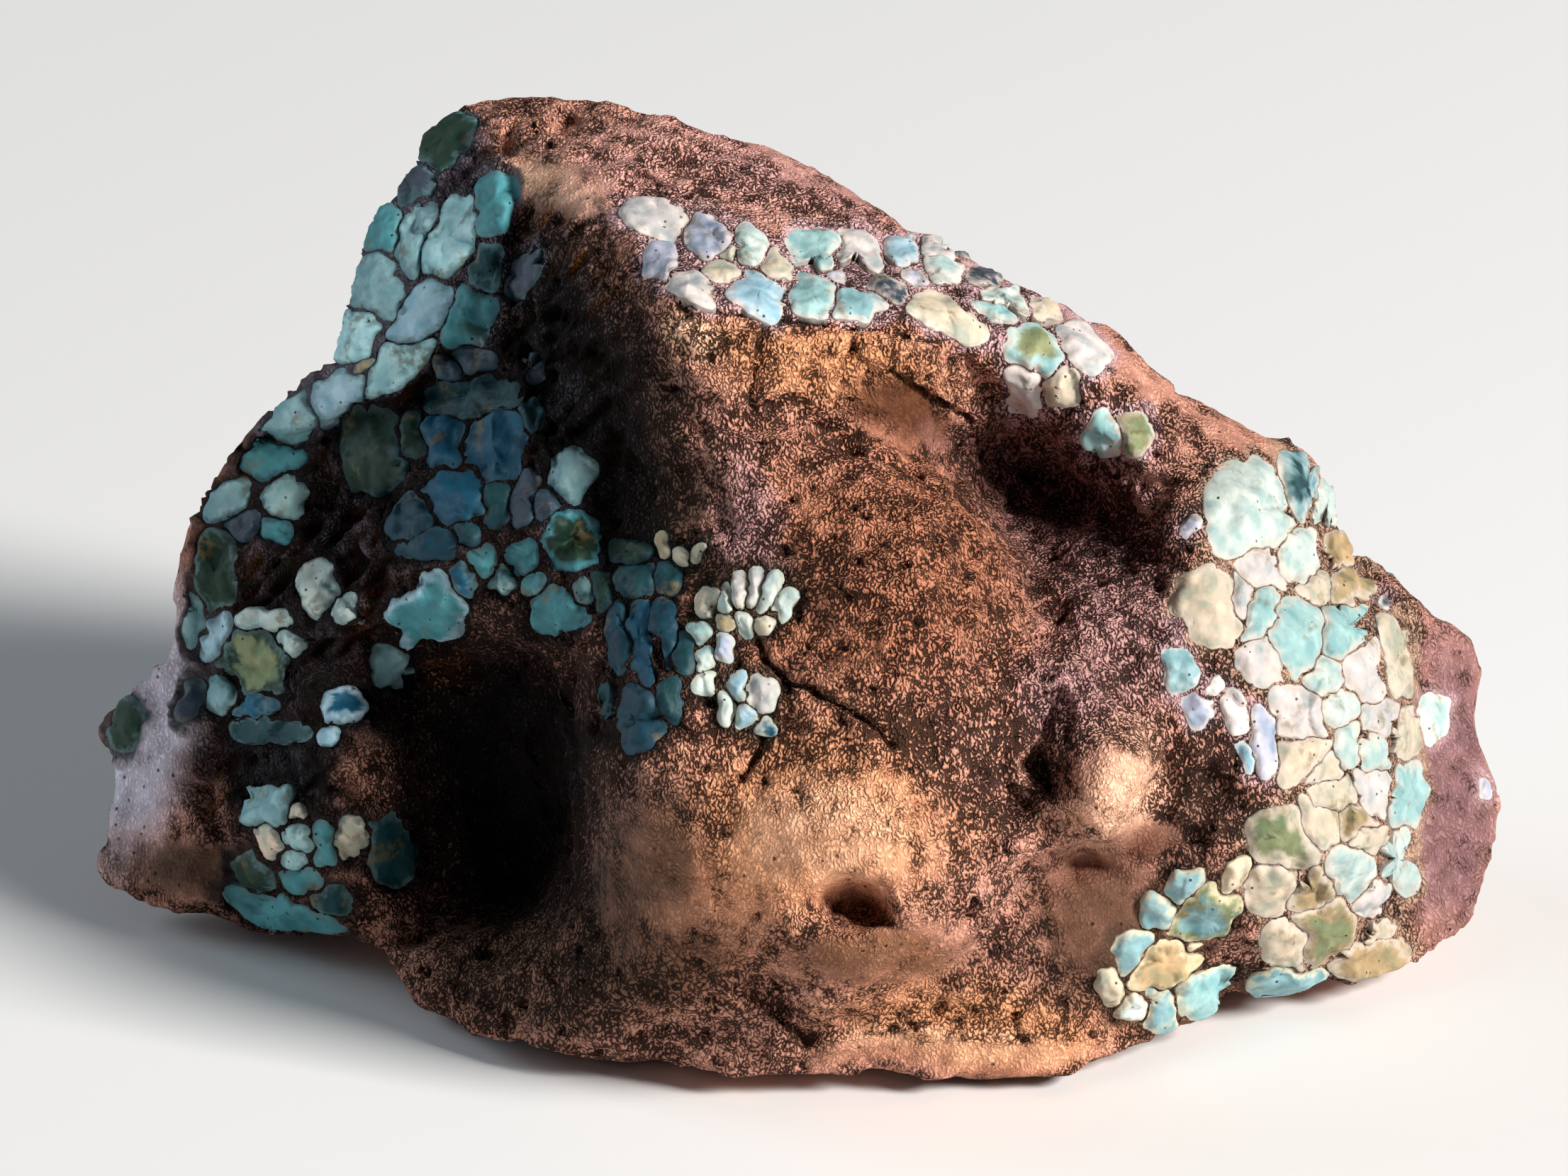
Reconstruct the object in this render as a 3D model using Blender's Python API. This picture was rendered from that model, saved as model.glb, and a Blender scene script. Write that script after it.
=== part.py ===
"""Raw turquoise nugget: one broken, weathered lump of brown host rock with turquoise nodules grown in it.

Metres, +Z up. The nugget lies on the flat break under it, its long side along X and its broad front face
towards -Y. That face leans back, and the nugget is laid out square to it: across to the right, up the lean,
and out of the face. Those sizes are millimetres of a nugget 70 mm long, and LENGTH scales them all.
"""

import math

import bmesh
import bpy
import numpy as np
from mathutils import Matrix, Vector, noise

LENGTH = 0.070
DRAWN_LENGTH = 70.0
FACE_LEAN = math.radians(25)
HEART_HEIGHT = 18.0  # of the outline's centre, above the surface that the nugget lies on

SPHERE_STEPS = 7  # an icosphere of 81,920 faces, before it is thinned out
KEPT_SHARE = 0.117
FRONT_FULLNESS = 6.0  # higher keeps the face broad for longer before it rounds over at the rim
BACK_FULLNESS = 4.5
RAGGED_BY = 0.9  # how far a ledge wanders off its line
RAGGED_OVER = 3.2
LIP = 0.9  # the width over which a ledge falls
LEDGE_CURVE = 1.5  # how quickly a ledge dies out over its fade

WEAR_SPAN = 9.0
WEAR_HEIGHT = 1.1
WEAR_ROUGHNESS = 0.9
WEAR_STEP = 2.1  # how much finer each layer of wear is than the last
WEAR_LAYERS = 3
CHIP_SPAN = 5.5
CHIP_BEND_SPAN = 4.0
CHIP_BEND = 0.3
CHIP_EDGE = 0.4  # the share of a chip that its worn edge takes up
CHIP_HEIGHT = 1.4
SKIN_LOSS = 0.8  # what wear takes off the drawn surface, so that it stays true on average
FRONT_WEAR = 0.45  # the front is already drawn in detail, so it takes less of the wear than the back

ROCK_COLOUR = (0.30, 0.165, 0.11, 1.0)
ROCK_ROUGHNESS = 0.85

# The widest outline, clockwise from the peak: across, up, out.
RIM = [
    (-14.6, 25.8, -3.0), (-11.2, 25.3, -2.5), (-9.2, 25.6, -2.0), (-6.4, 25.0, -1.5), (-4.0, 24.3, -1.0),
    (-1.8, 23.4, -0.5), (0.2, 22.6, 0.0), (2.4, 21.4, 0.5), (4.6, 19.9, 1.0), (7.2, 18.8, 1.5),
    (10.0, 17.6, 2.0), (10.8, 16.6, 2.0), (13.6, 15.3, 2.0), (16.0, 13.8, 2.0), (17.8, 12.1, 2.0),
    (20.0, 10.4, 1.5), (22.8, 9.2, 0.5), (25.2, 8.4, -0.5), (26.6, 7.6, -1.5), (27.2, 5.6, -2.5),
    (28.4, 2.9, -4.0), (30.0, 1.8, -5.0), (32.2, 0.2, -6.0), (33.8, -0.8, -6.5), (34.2, -2.0, -7.0),
    (34.1, -4.8, -7.0), (34.8, -6.8, -6.5), (35.4, -8.4, -6.0), (35.1, -10.8, -5.0), (34.7, -12.6, -4.0),
    (33.8, -14.6, -3.0), (32.0, -16.2, -2.5), (29.8, -17.5, -1.5), (26.4, -18.3, -0.2), (22.4, -18.4, 0.2),
    (21.2, -19.6, 2.5), (19.2, -20.4, 4.2), (16.8, -21.0, 5.4), (14.4, -21.9, 7.3), (10.0, -22.3, 8.1),
    (4.4, -22.3, 8.1), (-2.0, -22.6, 8.6), (-6.0, -21.8, 7.0), (-12.2, -21.5, 6.4), (-14.4, -20.7, 4.8),
    (-16.2, -20.0, 3.4), (-18.0, -18.8, 0.8), (-19.8, -17.2, -2.6), (-21.2, -16.4, -4.3), (-24.0, -16.0, -5.2),
    (-28.4, -14.3, -8.8), (-30.6, -14.5, -8.4), (-32.8, -13.9, -9.2), (-34.4, -13.2, -9.6), (-34.7, -12.2, -9.2),
    (-34.2, -10.4, -9.5), (-33.8, -8.0, -10.0), (-34.5, -5.8, -10.5), (-33.9, -4.4, -10.5), (-32.4, -3.4, -9.0),
    (-31.2, -2.0, -7.0), (-30.5, 0.4, -6.0), (-30.0, 3.2, -5.5), (-29.6, 5.0, -5.0), (-28.0, 7.4, -4.0),
    (-26.2, 9.6, -3.0), (-24.0, 11.8, -1.5), (-22.5, 12.9, -1.0), (-22.2, 15.2, -1.5), (-21.6, 18.0, -2.0),
    (-20.6, 20.2, -2.5), (-19.4, 21.4, -3.0), (-18.8, 23.2, -3.0), (-17.2, 25.0, -3.0),
]

# Where the front face lies, region by region: across, up, out.
FRONT = {
    "crest": [(-15, 22, 1), (-13, 21, 5), (-8, 22, 6.5), (-4, 21, 7.5), (0, 20, 8), (4, 18.5, 7.5)],
    "upper slope": [(-6, 17.5, 12.5), (0, 17, 12), (4, 16.8, 11.2), (8, 15.5, 10.5), (12, 13, 10.5),
                    (16, 9.5, 10), (20, 8, 8.5)],
    "nose": [(-8, 18.5, 11), (-6, 15.5, 15.5), (-5.4, 12, 16), (-5.6, 8, 15.3), (-4.2, 4, 15.5), (-5, 0.5, 15.6)],
    "brow": [(-2, 14.6, 16), (2, 14.5, 15.2), (6, 13.8, 13.8), (-2, 11, 15.4), (3, 11, 14.0), (7, 10, 11.0)],
    "dark hollow": [(11, 8, 5.5), (13, 5.5, 4.8), (16, 5, 7.5)],
    "dome": [(0, 6, 15.5), (4, 6, 15.5), (8, 4.5, 14.5), (0, 0, 17.5), (4, 0, 18.5), (8, 0, 17),
             (12, -1, 15), (4, -5, 19), (0, -5, 17.8), (8, -6, 17.5)],
    "cheek": [(18, 3, 11.5), (17, -2, 13.5), (20, 5.5, 11), (23, 6, 10.5), (26, 5, 6.5), (22, 1, 11.5),
              (26, 0, 9), (29, -2, 6.5), (24, -6, 11.5), (28, -7, 8.5), (20, -8, 13), (24, -12, 10.5),
              (28, -12, 8), (26, -16, 6.5)],
    "heel": [(31.5, -2, 0.5), (32.5, -6, -0.5), (33, -10, -1), (31.5, -14, 0.5)],
    "thumb": [(15, -7, 16.5), (17, -8, 15.5), (15.5, -10.3, 15.5), (11, -8, 15)],
    "chin": [(1, -11, 19), (6, -11, 18.5), (3, -17, 17.5), (-2, -12, 18), (-4, -8, 17.6), (-6, -13, 15.5),
             (9, -14, 16), (12, -15, 13), (16, -13, 12.5), (20, -13, 11.5), (17, -18, 9.5), (12, -20, 10.5),
             (4, -21, 11), (-2, -20.5, 11.5), (-8, -17, 12.5), (-13, -18, 6.5)],
    "left flank": [(-10, 16, 9.5), (-12, 12, 8), (-9, 9, 12), (-13, 7, 8), (-9, 3, 12.6), (-17, 10, 4.5),
                   (-18, 5, 6), (-20, 8, 3), (-14, 4, 9), (-15, 17, 3), (-18, 15, 2), (-18, 19, 0.5),
                   (-20, 14, 2), (-22.5, 10.5, 1), (-22, 5.5, 0.5), (-26, 6, -0.5), (-24, 2.5, 2.5),
                   (-28, 2, -2.5)],
    "left hollow": [(-18, 1, 6), (-13, 0, 8.5), (-8.4, -2, 15), (-8.6, -6, 16), (-9, -10, 14.5), (-22, -4, 3.5),
                    (-22, -7, 4.0), (-15, -5, 0), (-14, -9, -2.5), (-11.5, -12.5, 2), (-16, -13, -1),
                    (-20, -12, 1.5), (-24, -11, 1.5), (-25, -2, 0.5), (-26, -14, -2.5)],
    "foot": [(-30.5, -3, -4.5), (-31, -8, -5), (-30, -11, -4.5), (-33, -11, -7.5), (-28, -7, -3.5)],
}

# Where the back lies, which is steeper and plainer.
BACK = [
    (-31, -8, -16), (-25, -2, -18), (-24, -10, -19), (-19, 8, -17), (-19, 18, -10), (-12, 21, -12),
    (-10, 10, -21), (-12, 0, -26), (-8, -9, -22), (-2, 16, -17), (2, 4, -26), (4, -9, -23), (8, 13, -13),
    (12, 4, -22), (14, -3, -26), (16, -10, -21), (18, 6, -14), (24, 1, -15), (26, -6, -20), (26, -12, -15),
    (31, -5, -14), (31, -11, -12), (-30, -13, -14), (0, -16, -12), (-18, -14, -14), (14, -17, -10),
]

# Steps in the face. Each falls away on the right-hand side of its line, and dies out over its fade.
LEDGES = [
    {"name": "under the brow", "drop": 0.9, "fade": 5.0,
     "line": [(-7, 15.6), (-2, 15.1), (3, 14.9), (7, 14.0), (10, 12.6), (12, 10.8)]},
    {"name": "dome over the dark hollow", "drop": 2.6, "fade": 4.5,
     "line": [(10.3, -0.5), (10.6, 2.6), (9.8, 4.6), (8.2, 6.3), (5.4, 7.6), (2.6, 8.4)]},
    {"name": "cheek to heel", "drop": 4.8, "fade": 7.0,
     "line": [(28.6, -17.2), (29.8, -12), (30.0, -6), (29.3, -1), (27.8, 2.6), (27.4, 6)]},
    {"name": "under the thumb", "drop": 2.6, "fade": 4.5,
     "line": [(13.4, -11.4), (15.6, -10.7), (17.3, -9.2), (17.9, -7.2), (17.0, -5.4)]},
    {"name": "inside the thumb", "drop": 2.4, "fade": 2.8,
     "line": [(13.4, -5.4), (13.2, -7.0), (14.0, -9.2), (15.0, -10.9)]},
    {"name": "crest over the lower pocket", "drop": 1.6, "fade": 3.0,
     "line": [(1.0, -19.3), (3.4, -18.5), (6.0, -17.0), (8.6, -15.6), (11.6, -12.6)]},
    {"name": "shelf on the left flank", "drop": 2.4, "fade": 5.0,
     "line": [(-23, 3.4), (-18, 3.2), (-14, 3.4), (-11, 4.6), (-9.4, 7.4)]},
    {"name": "spur to the peak", "drop": 2.2, "fade": 5.0,
     "line": [(-23, 12.0), (-20, 12.8), (-17, 14.2), (-14.6, 17.0), (-13.4, 20.4)]},
    {"name": "wall of the left hollow", "drop": 5.0, "fade": 7.0,
     "line": [(-19, -0.6), (-14, -0.9), (-10.4, -2.0), (-9.4, -5), (-9.0, -8), (-10.2, -11), (-13, -14.4),
              (-17, -15.8)]},
    {"name": "foot over the left hollow", "drop": 1.8, "fade": 4.0,
     "line": [(-28.6, -12.6), (-29.4, -9), (-29.8, -4), (-29.6, 0), (-28.8, 3)]},
]

# Hollows with an oval mouth. The wall is steeper where its number is higher.
PITS = [
    {"name": "hole in the dome", "at": (3.3, -13.9), "half": (1.7, 1.25), "turn": -8, "depth": 3.4, "wall": 3.0},
    {"name": "lower pocket", "at": (-0.6, -18.5), "half": (2.6, 1.0), "turn": -48, "depth": 2.2, "wall": 2.0},
    {"name": "dark hollow", "at": (12.6, 6.2), "half": (4.6, 2.8), "turn": -28, "depth": 3.4, "wall": 1.3},
    {"name": "end of the dark hollow", "at": (17.0, 3.6), "half": (2.4, 1.4), "turn": -60, "depth": 1.2, "wall": 1.2},
    {"name": "left hollow", "at": (-15.0, -7.0), "half": (5.0, 6.4), "turn": 0, "depth": 3.6, "wall": 1.2},
    {"name": "under the spur", "at": (-22.2, 5.6), "half": (3.0, 1.5), "turn": 15, "depth": 2.0, "wall": 1.4},
    {"name": "over the foot", "at": (-25.5, -7.6), "half": (3.4, 1.6), "turn": 0, "depth": 1.8, "wall": 1.3},
    {"name": "below the cheek", "at": (20.4, -10.6), "half": (2.2, 2.6), "turn": 0, "depth": 1.0, "wall": 1.2},
    {"name": "brow facet", "at": (7.4, 10.6), "half": (3.4, 1.6), "turn": -30, "depth": 1.0, "wall": 1.6},
    {"name": "notch in the edge", "at": (-6.6, -20.0), "half": (2.8, 0.9), "turn": -12, "depth": 1.2, "wall": 1.6},
]


def around(angles, knots):
    """The rim's reach and depth at each angle, on a closed cubic curve through its points."""
    across, up, out = np.array(knots).T
    turn = np.arctan2(up, across)
    order = np.argsort(turn)
    turn, reach, out = turn[order], np.hypot(across, up)[order], out[order]
    full = 2 * math.pi
    turn = np.concatenate([turn[-2:] - full, turn, turn[:2] + full])
    values = np.stack([reach, out], axis=1)
    values = np.concatenate([values[-2:], values, values[:2]])
    slope = (values[2:] - values[:-2]) / (turn[2:] - turn[:-2])[:, None]
    at = np.clip(np.searchsorted(turn, angles) - 1, 1, len(turn) - 3)
    span = (turn[at + 1] - turn[at])[:, None]
    t = ((angles - turn[at]) / span[:, 0])[:, None]
    low, high = values[at], values[at + 1]
    low_slope, high_slope = slope[at - 1] * span, slope[at] * span
    blend = 3 * t**2 - 2 * t**3
    found = low + (high - low) * blend + low_slope * (t - 2 * t**2 + t**3) + high_slope * (t**3 - t**2)
    return found[:, 0], found[:, 1]


def thin_plate(places, spots):
    """Depth at each place on a bent thin plate that passes through the spots."""
    spots = np.array(spots, float)

    def bend(a, b):
        apart = np.linalg.norm(a[:, None] - b[None], axis=2)
        return apart**2 * np.log(apart + 1e-9)

    count = len(spots)
    flat = np.column_stack([np.ones(count), spots[:, :2]])
    system = np.zeros((count + 3, count + 3))
    system[:count, :count] = bend(spots[:, :2], spots[:, :2])
    system[:count, count:] = flat
    system[count:, :count] = flat.T
    weights = np.linalg.solve(system, np.concatenate([spots[:, 2], np.zeros(3)]))
    return bend(places, spots[:, :2]) @ weights[:count] + weights[count] + places @ weights[count + 1:]


def beside_line(places, line):
    """Distance from a line of points, and whether each place is on its right-hand side."""
    nearest = np.full(len(places), np.inf)
    right = np.zeros(len(places), bool)
    for start, end in zip(np.array(line[:-1], float), np.array(line[1:], float)):
        run = end - start
        share = np.clip((places - start) @ run / (run @ run), 0, 1)
        offset = places - (start + share[:, None] * run)
        distance = np.linalg.norm(offset, axis=1)
        closer = distance < nearest - 1e-9
        nearest = np.where(closer, distance, nearest)
        right = np.where(closer, run[0] * offset[:, 1] - run[1] * offset[:, 0] < 0, right)
    return nearest, right


def ledge(places, line, drop, fade):
    """The fall beside a line: sharp at the line, fading out to nothing."""
    distance, right = beside_line(places, line)
    fall = np.clip(distance / LIP, 0, 1) * np.clip(1 - distance / fade, 0, 1) ** LEDGE_CURVE
    return np.where(right, -drop * fall, 0.0)


def pit(places, at, half, turn, depth, wall):
    """A hollow with an oval mouth."""
    angle = math.radians(turn)
    along = np.array([math.cos(angle), math.sin(angle)])
    aside = np.array([-along[1], along[0]])
    offset = places - np.array(at)
    away = np.hypot(offset @ along / half[0], offset @ aside / half[1])
    return -depth * np.exp(-(away ** (2 * wall)))


def ragged(places):
    """The same places, each pushed a little aside, so that a straight line becomes a broken edge."""
    pushes = [noise.noise_vector(Vector((across, up, 0)) / RAGGED_OVER)[:2] for across, up in places]
    return places + RAGGED_BY * np.array(pushes)


def front_depth(places):
    spots = [spot for region in FRONT.values() for spot in region]
    depth = thin_plate(places, spots)
    places = ragged(places)
    for step in LEDGES:
        depth += ledge(places, step["line"], step["drop"], step["fade"])
    for hollow in PITS:
        depth += pit(places, hollow["at"], hollow["half"], hollow["turn"], hollow["depth"], hollow["wall"])
    return depth


def shaped(directions):
    """Moves the points of a unit sphere to the nugget's surface, in drawn millimetres: across, up, out."""
    share = np.clip(np.hypot(directions[:, 0], directions[:, 1]), 0, 1)
    reach, rim_out = around(np.arctan2(directions[:, 1], directions[:, 0]), RIM)
    places = directions[:, :2] * reach[:, None]
    front = directions[:, 2] >= 0
    face = np.where(front, front_depth(places), thin_plate(places, BACK))
    fullness = np.where(front, FRONT_FULLNESS, BACK_FULLNESS)
    rise = np.sqrt(1 - share**fullness)
    return np.column_stack([places, rim_out + (face - rim_out) * rise])


def worn_by(place, is_front):
    """Worn lumps and chips on the broken rock, in drawn millimetres along the normal."""
    worn = noise.fractal(place / WEAR_SPAN, WEAR_ROUGHNESS, WEAR_STEP, WEAR_LAYERS) * WEAR_HEIGHT
    bend = Vector((noise.noise(place / CHIP_BEND_SPAN), 0, 0)) * CHIP_BEND
    nearest, second = noise.voronoi(place / CHIP_SPAN + bend)[0][:2]
    chipped = min(second - nearest, CHIP_EDGE) * CHIP_HEIGHT
    return (worn + chipped - SKIN_LOSS) * (FRONT_WEAR if is_front else 1.0)


def upright():
    """The turn from across, up, out to the nugget's own axes, with the face leaning back."""
    standing = Matrix(((1, 0, 0), (0, 0, -1), (0, 1, 0)))
    return Matrix.Rotation(-FACE_LEAN, 3, "X") @ standing


def rock_material():
    material = bpy.data.materials.new("turquoise in brown host rock")
    material.use_nodes = True
    shader = material.node_tree.nodes["Principled BSDF"]
    shader.inputs["Base Color"].default_value = ROCK_COLOUR
    shader.inputs["Roughness"].default_value = ROCK_ROUGHNESS
    return material


def rough_lump():
    """The nugget's whole surface as a mesh, before its underside is broken off flat."""
    mesh = bpy.data.meshes.new("nugget")
    ball = bmesh.new()
    bmesh.ops.create_icosphere(ball, subdivisions=SPHERE_STEPS, radius=1.0)
    ball.to_mesh(mesh)
    ball.free()

    directions = np.array([vertex.co for vertex in mesh.vertices])
    mesh.vertices.foreach_set("co", shaped(directions).ravel())
    mesh.update()

    turn, unit = upright(), LENGTH / DRAWN_LENGTH
    places = [vertex.co.copy() for vertex in mesh.vertices]
    normals = [vertex.normal.copy() for vertex in mesh.vertices]
    for vertex, place, normal, towards in zip(mesh.vertices, places, normals, directions[:, 2]):
        place += normal * worn_by(place, towards >= 0)
        vertex.co = (turn @ place + Vector((0, 0, HEART_HEIGHT))) * unit
    mesh.update()
    return mesh


def ground_cutter(collection):
    """A block whose top is the flat break at z = 0."""
    block = bpy.data.meshes.new("flat break")
    cube = bmesh.new()
    bmesh.ops.create_cube(cube, size=2 * LENGTH)
    cube.to_mesh(block)
    cube.free()
    cutter = bpy.data.objects.new("flat break", block)
    cutter.location.z = -LENGTH
    cutter.hide_render = True
    cutter.display_type = "WIRE"
    collection.objects.link(cutter)
    return cutter


def make_nugget(collection, cutter):
    mesh = rough_lump()
    mesh.materials.append(rock_material())
    mesh.shade_smooth()
    nugget = bpy.data.objects.new("nugget", mesh)
    collection.objects.link(nugget)
    thinned = nugget.modifiers.new("thin out", "DECIMATE")
    thinned.ratio = KEPT_SHARE
    cut = nugget.modifiers.new("cut flat", "BOOLEAN")
    cut.operation = "DIFFERENCE"
    cut.object = cutter
    return nugget


def put_middle_over_origin(item):
    """Slides the object along the ground until the middle of its box stands over the origin."""
    finished = item.evaluated_get(bpy.context.evaluated_depsgraph_get())
    corners = np.array([finished.matrix_world @ Vector(corner) for corner in finished.bound_box])
    middle = (corners.min(axis=0) + corners.max(axis=0)) / 2
    item.location.x -= middle[0]
    item.location.y -= middle[1]


def main():
    for item in list(bpy.data.objects):
        bpy.data.objects.remove(item)
    parts = bpy.data.collections.new("raw turquoise nugget")
    cutters = bpy.data.collections.new("cutters")
    for group in (parts, cutters):
        bpy.context.scene.collection.children.link(group)
    nugget = make_nugget(parts, ground_cutter(cutters))
    put_middle_over_origin(nugget)


main()
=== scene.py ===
import itertools
import math

import bmesh
import bpy
import numpy as np
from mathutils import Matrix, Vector
from mathutils.bvhtree import BVHTree


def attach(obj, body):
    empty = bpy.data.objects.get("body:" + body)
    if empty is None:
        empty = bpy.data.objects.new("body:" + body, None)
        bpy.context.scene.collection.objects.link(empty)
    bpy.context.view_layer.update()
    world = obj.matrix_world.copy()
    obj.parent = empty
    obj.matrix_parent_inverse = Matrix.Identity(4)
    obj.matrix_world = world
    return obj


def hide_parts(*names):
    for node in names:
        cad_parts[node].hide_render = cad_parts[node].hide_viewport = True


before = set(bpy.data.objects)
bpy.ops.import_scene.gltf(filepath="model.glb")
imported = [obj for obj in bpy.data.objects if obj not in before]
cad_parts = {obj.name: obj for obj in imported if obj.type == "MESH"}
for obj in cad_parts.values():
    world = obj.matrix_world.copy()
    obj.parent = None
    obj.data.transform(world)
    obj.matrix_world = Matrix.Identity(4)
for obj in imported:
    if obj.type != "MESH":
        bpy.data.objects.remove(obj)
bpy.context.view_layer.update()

# The nugget's broad front face leans back. Places on it are millimetres across, up the lean and out of it,
# counted from the middle of its outline.
faceLean = math.radians(25)
acrossAxis = np.array([1.0, 0.0, 0.0])
upAxis = np.array([0.0, math.sin(faceLean), math.cos(faceLean)])
outAxis = np.array([0.0, -math.cos(faceLean), math.sin(faceLean)])
faceTurn = np.array([acrossAxis, upAxis, outAxis])
outline = {"left": -34.7, "right": 35.4, "bottom": -22.6, "top": 25.8}
heartHeight = 0.018


def meshPoints(mesh):
    points = np.empty(len(mesh.vertices) * 3)
    mesh.vertices.foreach_get("co", points)
    return points.reshape(-1, 3)


def meshNormals(mesh):
    normals = np.empty(len(mesh.vertices) * 3)
    mesh.vertices.foreach_get("normal", normals)
    return normals.reshape(-1, 3)


def findHeart(mesh):
    # the zero of the face places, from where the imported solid's outline falls
    points = meshPoints(mesh)
    across, up = points @ acrossAxis, points @ upAxis
    middleAcross = (across.min() + across.max()) / 2 - (outline["left"] + outline["right"]) / 2000
    middleUp = (up.min() + up.max()) / 2 - (outline["bottom"] + outline["top"]) / 2000
    depth = (middleUp - heartHeight * math.cos(faceLean)) / math.sin(faceLean)
    return np.array([middleAcross, depth, heartHeight])


heart = findHeart(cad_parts["nugget"].data)


def facePlaces(points):
    return (points - heart) * 1000 @ faceTurn.T


def worldPoints(places):
    return heart + places @ faceTurn / 1000


def rgb(red, green, blue):
    # a screen colour, 0 to 255, as Blender's linear values
    def linear(value):
        value /= 255
        return value / 12.92 if value <= 0.04045 else ((value + 0.055) / 1.055) ** 2.4
    return (linear(red), linear(green), linear(blue), 1.0)


# Noise, for many places at once.

noiseRandom = np.random.default_rng(7)
shuffled = noiseRandom.permutation(256)
slopes = noiseRandom.normal(size=(256, 3))
slopes /= np.linalg.norm(slopes, axis=1)[:, None]
jitters = noiseRandom.random((256, 3))


def cellNumber(cells):
    first = shuffled[cells[:, 0] & 255]
    return shuffled[(shuffled[(first + cells[:, 1]) & 255] + cells[:, 2]) & 255]


def softNoise(spots):
    # smooth hills and dips of about -1 to 1, one per unit
    base = np.floor(spots).astype(np.int64)
    rest = spots - base
    ease = rest ** 3 * (rest * (rest * 6 - 15) + 10)
    total = np.zeros(len(spots))
    for corner in itertools.product((0, 1), repeat=3):
        share = np.prod(np.where(corner, ease, 1 - ease), axis=1)
        total += share * np.einsum("ij,ij->i", slopes[cellNumber(base + corner)], rest - corner)
    return total * 1.5


layerStep, layerShift = 2.03, 9.7  # how much finer each layer is than the last, and how far aside


def layeredNoise(places, span, shift=0.0, layers=2):
    # hills and dips a span across with finer ones on them; each shift gives another pattern
    total = np.zeros(len(places))
    for layer in range(layers):
        total += softNoise(places / span * layerStep ** layer + shift + layer * layerShift) * 0.5 ** layer
    return total


def crumbNoise(places, span, shift=0.0):
    # distance to the nearest and the second crumb, in crumbs, then the nearest one's number and offset
    spots = places / span + shift
    base = np.floor(spots).astype(np.int64)
    nearest = np.full(len(spots), 9.0)
    second = nearest.copy()
    number = np.zeros(len(spots), np.int64)
    middle = np.zeros_like(spots)
    for step in itertools.product((-1, 0, 1), repeat=3):
        cells = base + step
        found = cellNumber(cells)
        centre = cells + jitters[found]
        away = np.linalg.norm(spots - centre, axis=1)
        closer = away < nearest
        second = np.where(closer, nearest, np.minimum(second, away))
        nearest = np.where(closer, away, nearest)
        number = np.where(closer, found, number)
        middle = np.where(closer[:, None], centre, middle)
    return nearest, second, number, (spots - middle) * span


# The camera looks straight at the leaning face from far off.

cameraSettings = {
    "distance": 0.9,
    "lens": 419.0,
    "frame": (2212, 1659),
    "heartPixel": (1117, 874),  # where the middle of the outline falls in the frame
}


def makeCamera():
    data = bpy.data.cameras.new("camera")
    camera = bpy.data.objects.new("camera", data)
    bpy.context.scene.collection.objects.link(camera)
    back = Vector(outAxis)
    wide, high = cameraSettings["frame"]
    pixel = cameraSettings["heartPixel"]
    camera.location = Vector(heart) + back * cameraSettings["distance"]
    camera.rotation_mode = "QUATERNION"
    camera.rotation_quaternion = back.to_track_quat("Z", "Y")
    data.lens = cameraSettings["lens"]
    data.sensor_width = 36
    data.shift_x = (wide / 2 - pixel[0]) / wide
    data.shift_y = (pixel[1] - high / 2) / wide
    data.clip_start = 0.01
    data.clip_end = 20
    bpy.context.scene.camera = camera


floorSettings = {"side": 6.0, "colour": rgb(243, 243, 244), "roughness": 0.7, "gap": 0.00005}


def makeFloor():
    material = bpy.data.materials.new("pale studio floor")
    material.use_nodes = True
    shader = material.node_tree.nodes["Principled BSDF"]
    shader.inputs["Base Color"].default_value = floorSettings["colour"]
    shader.inputs["Roughness"].default_value = floorSettings["roughness"]
    mesh = bpy.data.meshes.new("studioFloor")
    plane = bmesh.new()
    bmesh.ops.create_grid(plane, x_segments=1, y_segments=1, size=floorSettings["side"] / 2)
    plane.to_mesh(mesh)
    plane.free()
    floor = bpy.data.objects.new("studioFloor", mesh)
    floor.location.z = -floorSettings["gap"]
    mesh.materials.append(material)
    bpy.context.scene.collection.objects.link(floor)


lightSettings = {
    "key": {
        "towards": (0.74, -0.42, 0.52), "distance": 0.9, "size": 0.24, "watts": 13.3,
        "colour": (1.0, 0.96, 0.91),
    },
    "fill": {
        "towards": (-0.92, 0.30, 0.40), "distance": 1.0, "size": 0.6, "watts": 3.8,
        "colour": (0.82, 0.93, 1.0),
    },
    "sky": {"colour": (0.88, 0.94, 1.0, 1.0), "strength": 0.085},
}


def makeLights():
    for name in ("key", "fill"):
        made = lightSettings[name]
        data = bpy.data.lights.new(name, "AREA")
        data.energy = made["watts"]
        data.size = made["size"]
        data.color = made["colour"]
        lamp = bpy.data.objects.new(name, data)
        towards = Vector(made["towards"]).normalized()
        lamp.location = Vector(heart) + towards * made["distance"]
        lamp.rotation_mode = "QUATERNION"
        lamp.rotation_quaternion = towards.to_track_quat("Z", "Y")
        bpy.context.scene.collection.objects.link(lamp)
    sky = bpy.data.worlds.new("studio")
    sky.use_nodes = True
    background = sky.node_tree.nodes["Background"]
    background.inputs["Color"].default_value = lightSettings["sky"]["colour"]
    background.inputs["Strength"].default_value = lightSettings["sky"]["strength"]
    bpy.context.scene.world = sky
    bpy.context.scene.view_settings.view_transform = "Standard"


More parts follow.
